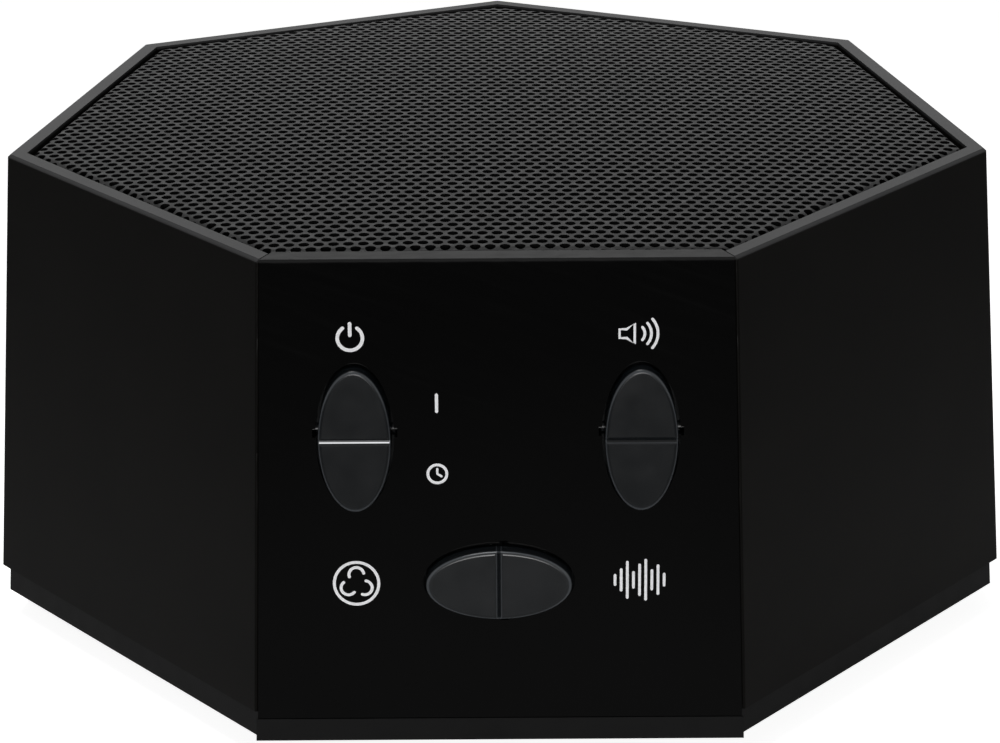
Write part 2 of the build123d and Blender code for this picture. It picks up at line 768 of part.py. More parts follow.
magnet_top = basket_bottom - top_plate_thickness
magnet = ring(magnet_bore, magnet_radius, magnet_top - magnet_thickness, magnet_top)
magnet.label = "speaker_magnet"
export_step(magnet, "parts/speaker_magnet.step")

with BuildPart() as yoke:
    yoke_top = magnet_top - magnet_thickness
    with BuildSketch(level(yoke_top - yoke_thickness)):
        Circle(top_plate_radius)
    extrude(amount=yoke_thickness)
    chamfer(yoke.edges().sort_by(Axis.Z)[0], 0.8)
    with BuildSketch(level(yoke_top)):
        Circle(coil_bore - coil_clearance)
    extrude(amount=basket_bottom - yoke_top)
yoke.part.label = "speaker_yoke"
export_step(yoke.part, "parts/speaker_yoke.step")

former_outer = coil_bore + former_wall
former_top = neck_height + 0.6
with BuildPart() as voice_coil:
    with BuildSketch(level(former_top - former_length)):
        Circle(former_outer)
        Circle(coil_bore, mode=Mode.SUBTRACT)
    extrude(amount=former_length)
    with BuildSketch(level(basket_bottom - top_plate_thickness / 2 - winding_length / 2)):
        Circle(coil_outer)
        Circle(coil_bore + former_wall / 2, mode=Mode.SUBTRACT)
    extrude(amount=winding_length)
voice_coil.part.label = "voice_coil"
export_step(voice_coil.part, "parts/voice_coil.step")

surround_outer = speaker_opening - 1.1
surround_inner = surround_outer - surround_width
cone_neck = former_outer + glue_gap
cone_lip = surround_inner - 1.2
cone_slope = (flange_top - cone_sheet - neck_height) / (cone_lip - cone_neck)
cone_rise = cone_sheet * (1 + cone_slope**2) ** 0.5  # the sheet's thickness measured upright
with BuildPart() as speaker_cone:
    with BuildSketch(section):
        with BuildLine():
            Polyline(
                (cone_neck, neck_height),
                (cone_lip, flange_top - cone_sheet),
                (surround_inner, flange_top - cone_sheet),
                (surround_inner, flange_top),
                (cone_lip - (cone_rise - cone_sheet) / cone_slope, flange_top),
                (cone_neck, neck_height + cone_rise),
                close=True,
            )
        make_face()
    revolve(axis=body_axis)
speaker_cone.part.label = "speaker_cone"
export_step(speaker_cone.part, "parts/speaker_cone.step")

with BuildPart() as dust_cap:
    cap_edge = neck_height + cone_rise + (dust_cap_radius - cone_neck) * cone_slope
    with BuildSketch(section):
        with BuildLine():
            top_arc = TangentArc(
                (0, cap_edge + dust_cap_rise),
                (dust_cap_radius, cap_edge),
                tangent=(1, 0),
            )
            under_arc = TangentArc(
                (0, cap_edge + dust_cap_rise - dust_cap_sheet),
                (dust_cap_radius - dust_cap_sheet, cap_edge),
                tangent=(1, 0),
            )
            Line(top_arc @ 1, under_arc @ 1)
            Line(top_arc @ 0, under_arc @ 0)
        make_face()
    revolve(axis=body_axis)
dust_cap.part.label = "dust_cap"
export_step(dust_cap.part, "parts/dust_cap.step")

with BuildPart() as surround:
    roll = surround_width / 2 - 0.02
    centre = (surround_inner + surround_outer) / 2
    with BuildSketch(section):
        with Locations((centre, flange_top)):
            Circle(roll)
            Circle(roll - surround_sheet, mode=Mode.SUBTRACT)
            Rectangle(3 * roll, 2 * roll, align=(Align.CENTER, Align.MAX), mode=Mode.SUBTRACT)
        with Locations((surround_outer - surround_sheet, flange_top)):
            Rectangle(surround_lip + surround_sheet, surround_sheet, align=(Align.MIN, Align.MIN))
        with Locations((surround_inner + surround_sheet, flange_top)):
            Rectangle(surround_lip + surround_sheet, surround_sheet, align=(Align.MAX, Align.MIN))
    revolve(axis=body_axis)
surround.part.label = "speaker_surround"
export_step(surround.part, "parts/speaker_surround.step")

with BuildPart() as spider:
    waves = 3
    spider_inner = former_outer + 0.05
    spider_outer = spider_radius + basket_step - 0.6
    wave = (spider_radius - spider_inner - 1.0) / (2 * waves)
    rise = 0.6
    with BuildSketch(section):
        with BuildLine() as wavy:
            points = [(spider_inner, ledge_height)]
            for i in range(2 * waves + 1):
                points.append((spider_inner + 0.8 + i * wave, ledge_height + rise * (i % 2)))
            points.append((spider_outer, ledge_height))
            lower = Polyline(*points)
            raised = [(x, y + surround_sheet) for x, y in reversed(points)]
            Line(lower @ 1, raised[0])
            Polyline(*raised)
            Line(raised[-1], lower @ 0)
        make_face()
    revolve(axis=body_axis)
spider.part.label = "speaker_spider"
export_step(spider.part, "parts/speaker_spider.step")

terminal_x = -(frame_radius + speaker_opening) / 2
terminal_bottom = flange_bottom - 8.0
lead_pitch = 2.5
with BuildPart() as terminals:
    with BuildSketch(Plane((terminal_x, axis_y, terminal_bottom))):
        Rectangle(1.2, 10.0)
    extrude(amount=flange_bottom - terminal_bottom)
    with BuildSketch(Plane((terminal_x, axis_y, terminal_bottom + 1.0))):
        with Locations((0, lead_pitch), (0, -lead_pitch)):
            Rectangle(2.4, 1.6)
    extrude(amount=4.0)
terminals.part.label = "speaker_terminals"
export_step(terminals.part, "parts/speaker_terminals.step")

# ---------------------------------------------------------------- main board

with BuildPart() as main_board:
    with BuildSketch(level(main_board_bottom)):
        RegularPolygon(main_board_flat, side_count=sides, major_radius=False, rotation=90)
        with Locations((0, -main_board_front)):
            Rectangle(
                2 * main_board_half_width,
                3 * main_board_flat,
                align=(Align.CENTER, Align.MIN),
                mode=Mode.INTERSECT,
            )
        with Locations(*main_board_screws):
            Circle(board_screw[0] + 0.2, mode=Mode.SUBTRACT)
    extrude(amount=board_thickness)
main_board.part.label = "main_board"
export_step(main_board.part, "parts/main_board.step")

main_screw_planes = [Plane((x, y + axis_y, main_board_top)) for x, y in main_board_screws]
main_board_screw_group = screws(main_screw_planes, board_screw)
main_board_screw_group.label = "main_board_screws"
export_step(main_board_screw_group, "parts/main_board_screws.step")

with BuildPart() as dc_jack:
    with BuildSketch(inlet_plane):
        with Locations((0, jack_height / 2 - jack_bore_height)):
            Rectangle(jack_width, jack_height)
    extrude(amount=-jack_length)
    jack_long_edges = dc_jack.edges().filter_by(Axis(inlet_plane.origin, inlet_plane.z_dir))
    chamfer(jack_long_edges.group_by(Axis.Z)[-1], 0.8)
    with BuildSketch(inlet_plane):
        Circle(jack_bore)
    extrude(amount=-jack_bore_depth, mode=Mode.SUBTRACT)
    with BuildSketch(inlet_plane):
        Circle(jack_tail_radius + screw_clearance)
    extrude(amount=-jack_length, mode=Mode.SUBTRACT)
dc_jack.part.label = "dc_jack"
export_step(dc_jack.part, "parts/dc_jack.step")

with BuildPart() as dc_jack_pin:
    with BuildSketch(inlet_plane.offset(-jack_bore_depth)):
        Circle(jack_pin_radius)
    extrude(amount=jack_bore_depth - jack_pin_recess)
    outward = Axis(inlet_plane.origin, inlet_plane.z_dir)
    chamfer(dc_jack_pin.faces().sort_by(outward)[-1].edges(), 0.3)
    with BuildSketch(inlet_plane.offset(-jack_bore_depth)):
        Circle(jack_tail_radius)
    extrude(amount=-(jack_length - jack_bore_depth) - 1.0)
dc_jack_pin.part.label = "dc_jack_pin"
export_step(dc_jack_pin.part, "parts/dc_jack_pin.step")


def chip(x, y, length, width, height, legs):
    """A moulded chip on the main board with gull-wing legs along its two long sides."""
    with BuildPart() as body:
        with BuildSketch(level(main_board_top + 0.2)):
            with Locations((x, y)):
                Rectangle(length, width)
        extrude(amount=height, taper=4)
        pitch = length / (legs + 1)
        with BuildSketch(level(main_board_top)):
            with Locations((x, y)):
                with GridLocations(pitch, width + 0.8, legs, 2):
                    Rectangle(pitch / 2, 1.2)
        extrude(amount=0.35)
    return body.part


def capacitor(x, y, radius, height):
    """A can capacitor standing on the main board, with the pressed groove near its foot."""
    with BuildPart() as can:
        with BuildSketch(level(main_board_top)):
            with Locations((x, y)):
                Circle(radius)
        extrude(amount=height)
        fillet(can.edges().sort_by(Axis.Z)[-1], 0.5)
        with BuildSketch(level(main_board_top + 1.2)):
            with Locations((x, y)):
                Circle(radius + 1)
                Circle(radius - 0.35, mode=Mode.SUBTRACT)
        extrude(amount=0.6, mode=Mode.SUBTRACT)
    return can.part


board_pieces = {
    "controller_chip": chip(-8.0, 2.0, 10.0, 6.0, 1.6, 8),
    "amplifier_chip": chip(10.0, 3.0, 6.0, 4.6, 1.6, 4),
    "regulator_chip": chip(main_board_half_width - 13.0, 14.0, 5.0, 4.6, 1.8, 3),
    "supply_capacitor": capacitor(main_board_half_width - 4.0, 12.5, 4.0, 9.5),
    "output_capacitor": capacitor(4.0 - main_board_half_width, 13.0, 3.6, 9.0),
}
for name, piece in board_pieces.items():
    piece.label = name
    export_step(piece, f"parts/{name}.step")

with BuildPart() as inductor:
    with BuildSketch(level(main_board_top)):
        with Locations((8.0, 15.0)):
            RectangleRounded(6.4, 6.4, 1.2)
    extrude(amount=3.2)
    with BuildSketch(level(main_board_top + 3.2)):
        with Locations((8.0, 15.0)):
            Circle(2.4)
            Circle(1.8, mode=Mode.SUBTRACT)
    extrude(amount=-0.3, mode=Mode.SUBTRACT)
inductor.part.label = "inductor"
export_step(inductor.part, "parts/inductor.step")

socket_x = 3.0 - main_board_half_width
socket_wall = 0.6
plug_clearance = 0.1
plug_size = (3.6, 6.6)
plug_top = main_board_top + 7.1
with BuildPart() as speaker_socket:
    with BuildSketch(Plane((socket_x, axis_y, main_board_top))):
        Rectangle(
            plug_size[0] + 2 * (plug_clearance + socket_wall),
            plug_size[1] + 2 * (plug_clearance + socket_wall),
        )
    extrude(amount=6.0)
    with BuildSketch(Plane((socket_x, axis_y, main_board_top + 1.0))):
        Rectangle(plug_size[0] + 2 * plug_clearance, plug_size[1] + 2 * plug_clearance)
    extrude(amount=6.0, mode=Mode.SUBTRACT)
speaker_socket.part.label = "speaker_socket"
export_step(speaker_socket.part, "parts/speaker_socket.step")

with BuildPart() as speaker_plug:
    with BuildSketch(Plane((socket_x, axis_y, main_board_top + 1.0 + plug_clearance))):
        Rectangle(*plug_size)
    extrude(amount=plug_top - main_board_top - 1.0 - plug_clearance)
    chamfer(speaker_plug.edges().filter_by(Axis.Z), 0.4)
speaker_plug.part.label = "speaker_plug"
export_step(speaker_plug.part, "parts/speaker_plug.step")

lead_radius = 0.65
for colour, side in (("red", 1), ("black", -1)):
    with BuildPart() as lead:
        near = axis_y + side * lead_pitch / 2
        far = axis_y + side * lead_pitch
        with BuildLine() as route:
            FilletPolyline(
                (socket_x, near, plug_top),
                (socket_x, near, plug_top + 5.0),
                (terminal_x, far, terminal_bottom - 8.0),
                (terminal_x, far, terminal_bottom),
                radius=4.0,
            )
        with BuildSketch(Plane(route.line @ 0, z_dir=route.line % 0)):
            Circle(lead_radius)
        sweep()
    lead.part.label = f"speaker_lead_{colour}"
    export_step(lead.part, f"parts/speaker_lead_{colour}.step")

ribbon_width = 12.7
ribbon_sheet = 0.3
socket_depth = 4.0
socket_rise = 2.0
ribbon_down = control_board_bottom - 6.5
main_socket_y = -main_board_front + socket_depth / 2 + 0.5
with BuildPart() as ribbon_socket_front:
    with BuildSketch(on_face(0, ribbon_down).offset(-board_rear)):
        Rectangle(ribbon_width + 3, socket_depth)
    extrude(amount=-socket_rise)
ribbon_socket_front.part.label = "ribbon_socket_front"
export_step(ribbon_socket_front.part, "parts/ribbon_socket_front.step")

with BuildPart() as ribbon_socket_main:
    with BuildSketch(level(main_board_top)):
        with Locations((0, main_socket_y)):
            Rectangle(ribbon_width + 3, socket_depth)
    extrude(amount=socket_rise)
ribbon_socket_main.part.label = "ribbon_socket_main"
export_step(ribbon_socket_main.part, "parts/ribbon_socket_main.step")

with BuildPart() as ribbon_cable:
    leave = face.from_local_coords((0, -ribbon_down - socket_depth / 2, -board_rear - socket_rise / 2))
    turn = face.from_local_coords((0, -ribbon_down - socket_depth / 2 - 4.0, -board_rear - socket_rise / 2))
    arrive_y = axis_y + main_socket_y - socket_depth / 2
    arrive_z = main_board_top + socket_rise / 2
    with BuildLine() as fold:
        FilletPolyline(
            leave,
            turn,
            (0, (turn.Y + arrive_y) / 2, floor_top + 2.5),
            (0, arrive_y - 4.0, arrive_z),
            (0, arrive_y, arrive_z),
            radius=1.5,
        )
    with BuildSketch(Plane(fold.line @ 0, x_dir=(1, 0, 0), z_dir=fold.line % 0)):
        Rectangle(ribbon_width, ribbon_sheet)
    sweep()
ribbon_cable.part.label = "ribbon_cable"
export_step(ribbon_cable.part, "parts/ribbon_cable.step")
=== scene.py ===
import json
import math

import bpy
import numpy as np
from mathutils import Matrix
from mathutils.geometry import delaunay_2d_cdt


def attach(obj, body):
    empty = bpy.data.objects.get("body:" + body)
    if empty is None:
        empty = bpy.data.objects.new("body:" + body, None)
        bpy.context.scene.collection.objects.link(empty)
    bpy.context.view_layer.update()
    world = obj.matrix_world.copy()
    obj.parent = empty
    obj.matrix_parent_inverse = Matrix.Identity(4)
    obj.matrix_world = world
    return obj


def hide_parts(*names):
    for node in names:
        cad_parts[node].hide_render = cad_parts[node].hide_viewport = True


# White noise sound machine. Lengths are in millimetres and become metres when a mesh is made.
# The seven-sided body stands on its feet with its key panel towards -Y and its grille up.

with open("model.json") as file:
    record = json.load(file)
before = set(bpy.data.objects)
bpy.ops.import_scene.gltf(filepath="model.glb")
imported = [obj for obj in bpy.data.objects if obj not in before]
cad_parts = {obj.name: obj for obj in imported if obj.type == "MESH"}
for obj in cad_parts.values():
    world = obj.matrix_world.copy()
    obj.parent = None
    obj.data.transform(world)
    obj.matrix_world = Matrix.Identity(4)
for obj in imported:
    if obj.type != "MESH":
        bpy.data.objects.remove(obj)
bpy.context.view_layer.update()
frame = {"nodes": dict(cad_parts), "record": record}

MM = 0.001
SIDES = 7
SHELL_WIDTH = 111.8  # over the shell's widest corners
SHELL_BOTTOM = 6.1
RIM_TOP = 53.9
RIM_WIDTH = 1.9
LEAN = math.radians(3.34)  # how far each wall leans in
PANEL_THICKNESS = 2.4
PANEL_GAP = 0.1
SHELL_FLAT = SHELL_WIDTH / 2 / math.sin(3 * math.pi / SIDES) * math.cos(math.pi / SIDES)
AXIS_Y = -SHELL_FLAT * (1 / math.cos(math.pi / SIDES) - 1) / 2

GRILLE_SHEET = 0.7
GRILLE_GAP = 0.3  # from the rim to the grille's skirt
GRILLE_CROWN = 0.8  # swell of the sheet from its edge to its middle
GRILLE_SKIRT = 3.8  # folded edge, from the rim down to the deck
FOLD_RADIUS = 0.9  # outside radius of the fold along its top
CORNER_RADIUS = 1.2  # outside radius of its upright corners
DECK_TOP = RIM_TOP - GRILLE_SKIRT
TAB_WIDTH = 4.0
TAB_LENGTH = 3.2
TAB_POINT = 0.3  # length over which a tab narrows to its end
TAB_TAPER = 0.25  # how much it narrows there, on each side

HOLE_PITCH = 1.4838
HOLE_RADIUS = 0.56
HOLE_POINTS = 12  # corners of a hole's outline
HOLE_REACH = 48  # rows and columns laid out to each side of the middle, more than the blank holds
HOLE_MARGIN = 1.0  # how far past the fold a hole's centre may lie and still cut into the skirt
CELL_MARGIN = 0.05  # a cell is whole if its corners lie at least this far inside the fold
ROW_STEP = HOLE_PITCH * math.sqrt(3) / 2


def flat_at(height):
    """Distance from the body's axis to a wall: it falls with height by the tangent of the lean."""
    return SHELL_FLAT + (SHELL_BOTTOM - height) * math.tan(LEAN)


GRILLE_FLAT = flat_at(RIM_TOP) - RIM_WIDTH - GRILLE_GAP
GRILLE_FRONT = flat_at(RIM_TOP) - PANEL_THICKNESS - PANEL_GAP - GRILLE_GAP
CROWN_RADIUS = (GRILLE_FLAT**2 + GRILLE_CROWN**2) / (2 * GRILLE_CROWN)


# ------------------------------------------------------------------ meshes


def make_piece(name, points, faces, finish, body, slot=None, smooth=35):
    """Mesh object at the origin from points in millimetres, smooth except over sharper edges."""
    mesh = bpy.data.meshes.new(name)
    mesh.from_pydata((np.asarray(points, float) * MM).tolist(), [], faces)
    mesh.update()
    mesh.shade_smooth()
    mesh.set_sharp_from_angle(angle=math.radians(smooth))
    mesh.materials.append(finish)
    piece = bpy.data.objects.new(name, mesh)
    bpy.context.scene.collection.objects.link(piece)
    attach(piece, body)
    return piece


def closed_rings(rings):
    """Faces of a solid whose surface runs through rings of equal count, with a flat face at each end."""
    count, size = rings.shape[:2]
    ring, step = np.meshgrid(np.arange(count - 1), np.arange(size), indexing="ij")
    after = (step + 1) % size
    quads = np.stack(
        [ring * size + step, ring * size + after, (ring + 1) * size + after, (ring + 1) * size + step], -1
    ).reshape(-1, 4)
    ends = [list(range(size))[::-1], list(range((count - 1) * size, count * size))]
    return quads.tolist() + ends


def join_solids(solids):
    """One point array and face list from several (points, faces) pairs."""
    points, faces, start = [], [], 0
    for own_points, own_faces in solids:
        points.append(own_points)
        faces += [[index + start for index in face] for face in own_faces]
        start += len(own_points)
    return np.concatenate(points), faces


def thicken(flat_points, faces, upper, lower):
    """Closed sheet: faces on upper, the same turned over on lower, and a wall under each free edge."""
    count = len(flat_points)
    edges = dict.fromkeys((a, b) for face in faces for a, b in zip(face, face[1:] + face[:1]))
    walls = [[b, a, a + count, b + count] for (a, b) in edges if (b, a) not in edges]
    under = [[index + count for index in face[::-1]] for face in faces]
    return np.concatenate([upper, lower]), faces + under + walls


# ------------------------------------------------------------------ grille

side_angles = np.radians(-90 + np.arange(SIDES) * 360 / SIDES)
side_normals = np.stack([np.cos(side_angles), np.sin(side_angles)], 1)
side_flats = np.where(np.arange(SIDES) == 0, GRILLE_FRONT, GRILLE_FLAT)


def crossing(first, second, inset):
    """Where two neighbouring sides, moved in by inset, cross in plan."""
    pair = np.array([side_normals[first], side_normals[second]])
    return np.linalg.solve(pair, side_flats[[first, second]] - inset)


core = np.array([crossing(k - 1, k, CORNER_RADIUS) for k in range(SIDES)])
core_run = np.roll(core, -1, 0) - core
ARC = FOLD_RADIUS * math.pi / 2
SKIRT = RIM_TOP - FOLD_RADIUS - DECK_TOP
FLAT_RIM = CORNER_RADIUS - FOLD_RADIUS
FOLD_LINES = (0.0, 0.25, 0.5, 0.75, 1.0)  # shares of the fold's arc at which lines run along it
TINY = 1e-9


def crown(plan):
    """Height of the swollen sheet: a sphere of the crown's radius, highest on the body's axis."""
    reach = (plan**2).sum(-1)
    return RIM_TOP + GRILLE_CROWN - CROWN_RADIUS + np.sqrt(CROWN_RADIUS**2 - reach)


def nearest_on_core(plan):
    """Nearest point of the core seven-sided outline, the way out from it, the distance to it and how far
    the plan point lies beyond the core's sides, negative within them."""
    start = plan[:, None] - core[None]
    share = np.clip((start * core_run).sum(-1) / (core_run**2).sum(-1), 0, 1)
    foot = core[None] + share[..., None] * core_run[None]
    gap = np.linalg.norm(plan[:, None] - foot, axis=-1)
    best = gap.argmin(1)
    rows = np.arange(len(plan))
    foot, gap = foot[rows, best], gap[rows, best]
    inside = (plan @ side_normals.T - (side_flats - CORNER_RADIUS)).max(1)
    way = np.where(gap[:, None] > TINY, (plan - foot) / np.maximum(gap, TINY)[:, None], side_normals[best])
    return foot, way, gap, inside


def past_flat(plan):
    """How far a point of the unfolded blank lies beyond the flat field, negative on it."""
    _, _, gap, inside = nearest_on_core(plan)
    return np.where(inside > 0, gap, inside) - FLAT_RIM


def folded(plan, depth):
    """The blank after folding. On the field a point stays in plan at the crown's height. Beyond it the
    surplus length runs round a quarter circle of the fold's radius, then straight down the skirt.
    depth moves the point in from the outer surface along its normal."""
    foot, way, gap, inside = nearest_on_core(plan)
    past = np.where(inside > 0, gap, inside) - FLAT_RIM
    turn = np.clip(past / FOLD_RADIUS, 0, math.pi / 2)
    bend = foot + way * FLAT_RIM
    top = crown(bend)
    radius = FOLD_RADIUS - depth
    around = bend + way * (radius * np.sin(turn))[:, None]
    down = np.maximum(past - ARC, 0) * (top - FOLD_RADIUS - DECK_TOP) / SKIRT
    side = top - FOLD_RADIUS + radius * np.cos(turn) - down
    flat = past <= 0
    place = np.where(flat[:, None], plan, around)
    height = np.where(flat, crown(plan) - depth, side)
    return np.column_stack([place[:, 0], place[:, 1] + AXIS_Y, height])


# What each product of a blank point's coordinates, taken in units of PRESS_UNIT, adds to its place in
# plan: first a constant, then u, v, u squared, u times v and v squared.
PRESS_UNIT = 50
PRESS_ALONG = (-0.538, 49.993, -0.672, 0.077, -0.062, 0.029)
PRESS_BACK = (0.237, 0.019, 49.774, 0.344, -0.759, -0.788)
PRESS_ROUNDS = 6  # corrections until a point is traced back to the blank


def pressed(blank):
    """Plan of the sheet once it is turned a little, set down and pressed into its crown. Each point moves
    by a sum of the products of its two coordinates, so the rows bow by a few tenths of a millimetre."""
    u, v = blank[..., 0] / PRESS_UNIT, blank[..., 1] / PRESS_UNIT
    plan = []
    for a, b, c, d, e, f in (PRESS_ALONG, PRESS_BACK):
        plan.append(a + b * u + c * v + d * u * u + e * u * v + f * v * v)
    return np.stack(plan, -1)


def unpressed(plan):
    """The point of the blank that pressing moves to plan: a guess that is put right by its own error."""
    blank = plan.copy()
    for _ in range(PRESS_ROUNDS):
        blank = blank + plan - pressed(blank)
    return blank


def hole_centre(column, row):
    """Centre of a hole on the blank: rows a triangle's height apart, odd rows half a pitch along."""
    return np.stack([HOLE_PITCH * (column + (row % 2) / 2), ROW_STEP * row], -1)


def nearest_hole(blank):
    """Column and row of the hole nearest to each point of the blank."""
    best = None
    for shift in (-1, 0, 1):
        row = np.round(blank[:, 1] / ROW_STEP).astype(int) + shift
        column = np.round(blank[:, 0] / HOLE_PITCH - (row % 2) / 2).astype(int)
        gap = np.linalg.norm(blank - hole_centre(column, row), axis=1)
        if best is None:
            best = (gap, column, row)
        else:
            closer = gap < best[0]
            best = tuple(np.where(closer, new, old) for new, old in zip((gap, column, row), best))
    return best[1], best[2]


def circle(count, radius, start=0.0):
    """Points evenly round a circle."""
    angle = start + np.arange(count) * 2 * math.pi / count
    return radius * np.stack([np.cos(angle), np.sin(angle)], -1)


hole_ring = circle(HOLE_POINTS, HOLE_RADIUS)
cell_ring = circle(6, HOLE_PITCH / math.sqrt(3), math.pi / 6)


def border_loop(past, steps=9, corner=4):
    """The line that lies the same distance past the field all round: straight runs joined by arcs."""
    loops = []
    for k in range(SIDES):
        start, finish = core[k], core[(k + 1) % SIDES]
        share = np.linspace(0, 1, steps + 1)[:, None]
        loops.append(start + (finish - start) * share + side_normals[k] * (FLAT_RIM + past))
        turn = side_angles[k] + np.linspace(0, 2 * math.pi / SIDES, corner + 2)[1:-1]
        loops.append(finish + (FLAT_RIM + past) * np.stack([np.cos(turn), np.sin(turn)], -1))
    return np.concatenate(loops)


def perforated_blank():
    """Plan of the unfolded blank. Whole cells on the field are a round hole in a six-sided cell, six
    five-cornered faces each. The border, where holes run over the fold, is a triangulation between the
    cells' outline, the remaining holes and lines along the fold, without the triangles in the holes.
    Gives the points, the faces of the cells and how far along each lies, and the same of the border."""
    span = np.arange(-HOLE_REACH, HOLE_REACH + 1)
    column, row = (grid.ravel() for grid in np.meshgrid(span, span))
    centres = hole_centre(column, row)
    near = past_flat(pressed(centres)) < ARC + HOLE_MARGIN
    column, row, centres = column[near], row[near], centres[near]
    corners = pressed(centres[:, None] + cell_ring[None])
    whole = past_flat(corners.reshape(-1, 2)).reshape(-1, 6).max(1) < -CELL_MARGIN
    flat_corners = corners[whole].reshape(-1, 2)
    _, first, index = np.unique(np.round(flat_corners, 4), axis=0, return_index=True, return_inverse=True)
    points = flat_corners[first]
    cells = index.reshape(-1, 6)
    shared = len(points)
    rings = pressed(centres[whole][:, None] + hole_ring[None]).reshape(-1, 2)
    ring_index = shared + np.arange(len(rings)).reshape(-1, HOLE_POINTS)
    faces, owners = [], []
    for k in range(6):
        part = [cells[:, k], cells[:, (k + 1) % 6]]
        part += [ring_index[:, (2 * k + step) % HOLE_POINTS] for step in (3, 2, 1)]
        faces.append(np.stack(part, 1))
        owners.append(centres[whole][:, 0])
    faces, owners = np.concatenate(faces), np.concatenate(owners)
    points = np.concatenate([points, rings])

    # the outline round all whole cells is made of the cell edges that only one cell uses
    runs = np.stack([cells, np.roll(cells, -1, 1)], -1).reshape(-1, 2)
    ordered, uses = np.unique(np.sort(runs, 1), axis=0, return_counts=True)
    outline = ordered[uses == 1]
    outline_points, outline_runs = np.unique(outline, return_inverse=True)
    outline_runs = outline_runs.reshape(-1, 2)
    border = [points[outline_points]]
    lines = [outline_runs]
    start = len(outline_points)
    loops = list(pressed(centres[~whole][:, None] + hole_ring[None]))
    loops += [border_loop(ARC * share) for share in FOLD_LINES] + [border_loop(ARC + SKIRT)]
    for loop in loops:
        count = len(loop)
        border.append(loop)
        lines.append(np.stack([np.arange(count), (np.arange(count) + 1) % count], 1) + start)
        start += count
    border, lines = np.concatenate(border), np.concatenate(lines)
    cut = delaunay_2d_cdt(border.tolist(), lines.tolist(), [], 0, 1e-5, True)
    cut_points = np.array([list(point) for point in cut[0]])
    given = np.array([ids[0] if ids else -1 for ids in cut[3]])
    known = given >= 0
    cut_points[known] = border[given[known]]

    # a triangle whose middle lies in a whole cell or in a hole is left out
    triangles = np.array(cut[2])
    middle = unpressed(cut_points[triangles].mean(1))
    hole_column, hole_row = nearest_hole(middle)
    owner = hole_centre(hole_column, hole_row)
    is_whole = dict(zip(zip(column.tolist(), row.tolist()), whole.tolist()))
    kind = [is_whole.get(pair) for pair in zip(hole_column.tolist(), hole_row.tolist())]
    in_cell = np.array([flag is True for flag in kind])
    has_hole = np.array([flag is not None for flag in kind])
    away = middle - owner
    angle = np.mod(np.arctan2(away[:, 1], away[:, 0]), 2 * math.pi / HOLE_POINTS)
    across = np.linalg.norm(away, axis=1) * np.cos(angle - math.pi / HOLE_POINTS)
    in_hole = has_hole & (across < HOLE_RADIUS * math.cos(math.pi / HOLE_POINTS))
    run = cut_points[triangles]
    area = np.cross(run[:, 1] - run[:, 0], run[:, 2] - run[:, 0])
    keep = ~in_cell & ~in_hole & (np.abs(area) > TINY)
    triangles = np.where((area < 0)[:, None], triangles[:, ::-1], triangles)[keep]
    total = len(points)
    place = np.where(
        known & (given < len(outline_points)),
        outline_points[np.clip(given, 0, len(outline_points) - 1)],
        total + np.arange(len(cut_points)),
    )
    points = np.concatenate([points, cut_points])
    return points, faces, owners, place[triangles], middle[keep][:, 0]


def make_grille(finish, painted_shade):
    """Two halves of the folded sheet, parted along the cells nearest the middle, and six tabs. The walls
    of the holes, like the sheet's other cut edges, take the darker painted_shade finish, a painted shade."""
    points, cells, cell_side, triangles, triangle_side = perforated_blank()
    for name, left in (("grille_sheet_left", True), ("grille_sheet_right", False)):
        faces = cells[(cell_side < 0) == left].tolist() + triangles[(triangle_side < 0) == left].tolist()
        used = np.unique(np.concatenate([np.ravel(face) for face in faces]))
        renumber = np.full(len(points), -1)
        renumber[used] = np.arange(len(used))
        faces = [renumber[face].tolist() for face in faces]
        plan = points[used]
        sheet_points, sheet_faces = thicken(plan, faces, folded(plan, 0.0), folded(plan, GRILLE_SHEET))
        piece = make_piece(name, sheet_points, sheet_faces, finish, "housing", "grille_steel")
        piece.data.materials.append(painted_shade)
        finish_index = np.zeros(len(sheet_faces), dtype=np.int32)
        finish_index[2 * len(faces) :] = 1
        piece.data.polygons.foreach_set("material_index", finish_index)
    solids = []
    tab_end = DECK_TOP - TAB_LENGTH
    for k in range(1, SIDES):
        out = side_normals[k]
        along = np.array([-out[1], out[0]])
        middle = out * (GRILLE_FLAT - GRILLE_SHEET / 2)
        rings = []
        for height, inset in ((DECK_TOP, 0.0), (tab_end + TAB_POINT, 0.0), (tab_end, TAB_TAPER)):
            half = np.array([TAB_WIDTH / 2 - inset, GRILLE_SHEET / 2 - inset / 2])
            corners = np.array([[1, 1], [-1, 1], [-1, -1], [1, -1]]) * half
            plan = middle + corners[:, :1] * along + corners[:, 1:] * -out
            rings.append(np.column_stack([plan[:, 0], plan[:, 1] + AXIS_Y, np.full(4, height)]))
        rings = np.array(rings)[::-1]
        solids.append((rings.reshape(-1, 3), closed_rings(rings)))
    make_piece("grille_tabs", *join_solids(solids), finish, "housing", "grille_steel")
    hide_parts("grille")


# ------------------------------------------------------------------ finishes

PER_METRE = 1000  # millimetres in a metre
WAVE_STEP = 20  # radians that a wave texture of scale 1 goes through in a metre
MICROMETRE = 1e-6
MIX_SOCKETS = {"FLOAT": (2, 3, 0), "RGBA": (6, 7, 2)}  # low and high inputs and the result of a mix node


def join(tree, value, socket):
    """Links value to a node's input socket if it is a socket itself, or else sets it there."""
    if isinstance(value, bpy.types.NodeSocket):
        tree.links.new(value, socket)
    else:
        socket.default_value = value


def maths(tree, operation, *values):
    """Result of a math node on values, each a number or a socket."""
    made = tree.nodes.new("ShaderNodeMath")
    made.operation = operation
    for value, socket in zip(values, made.inputs):
        join(tree, value, socket)
    return made.outputs[0]


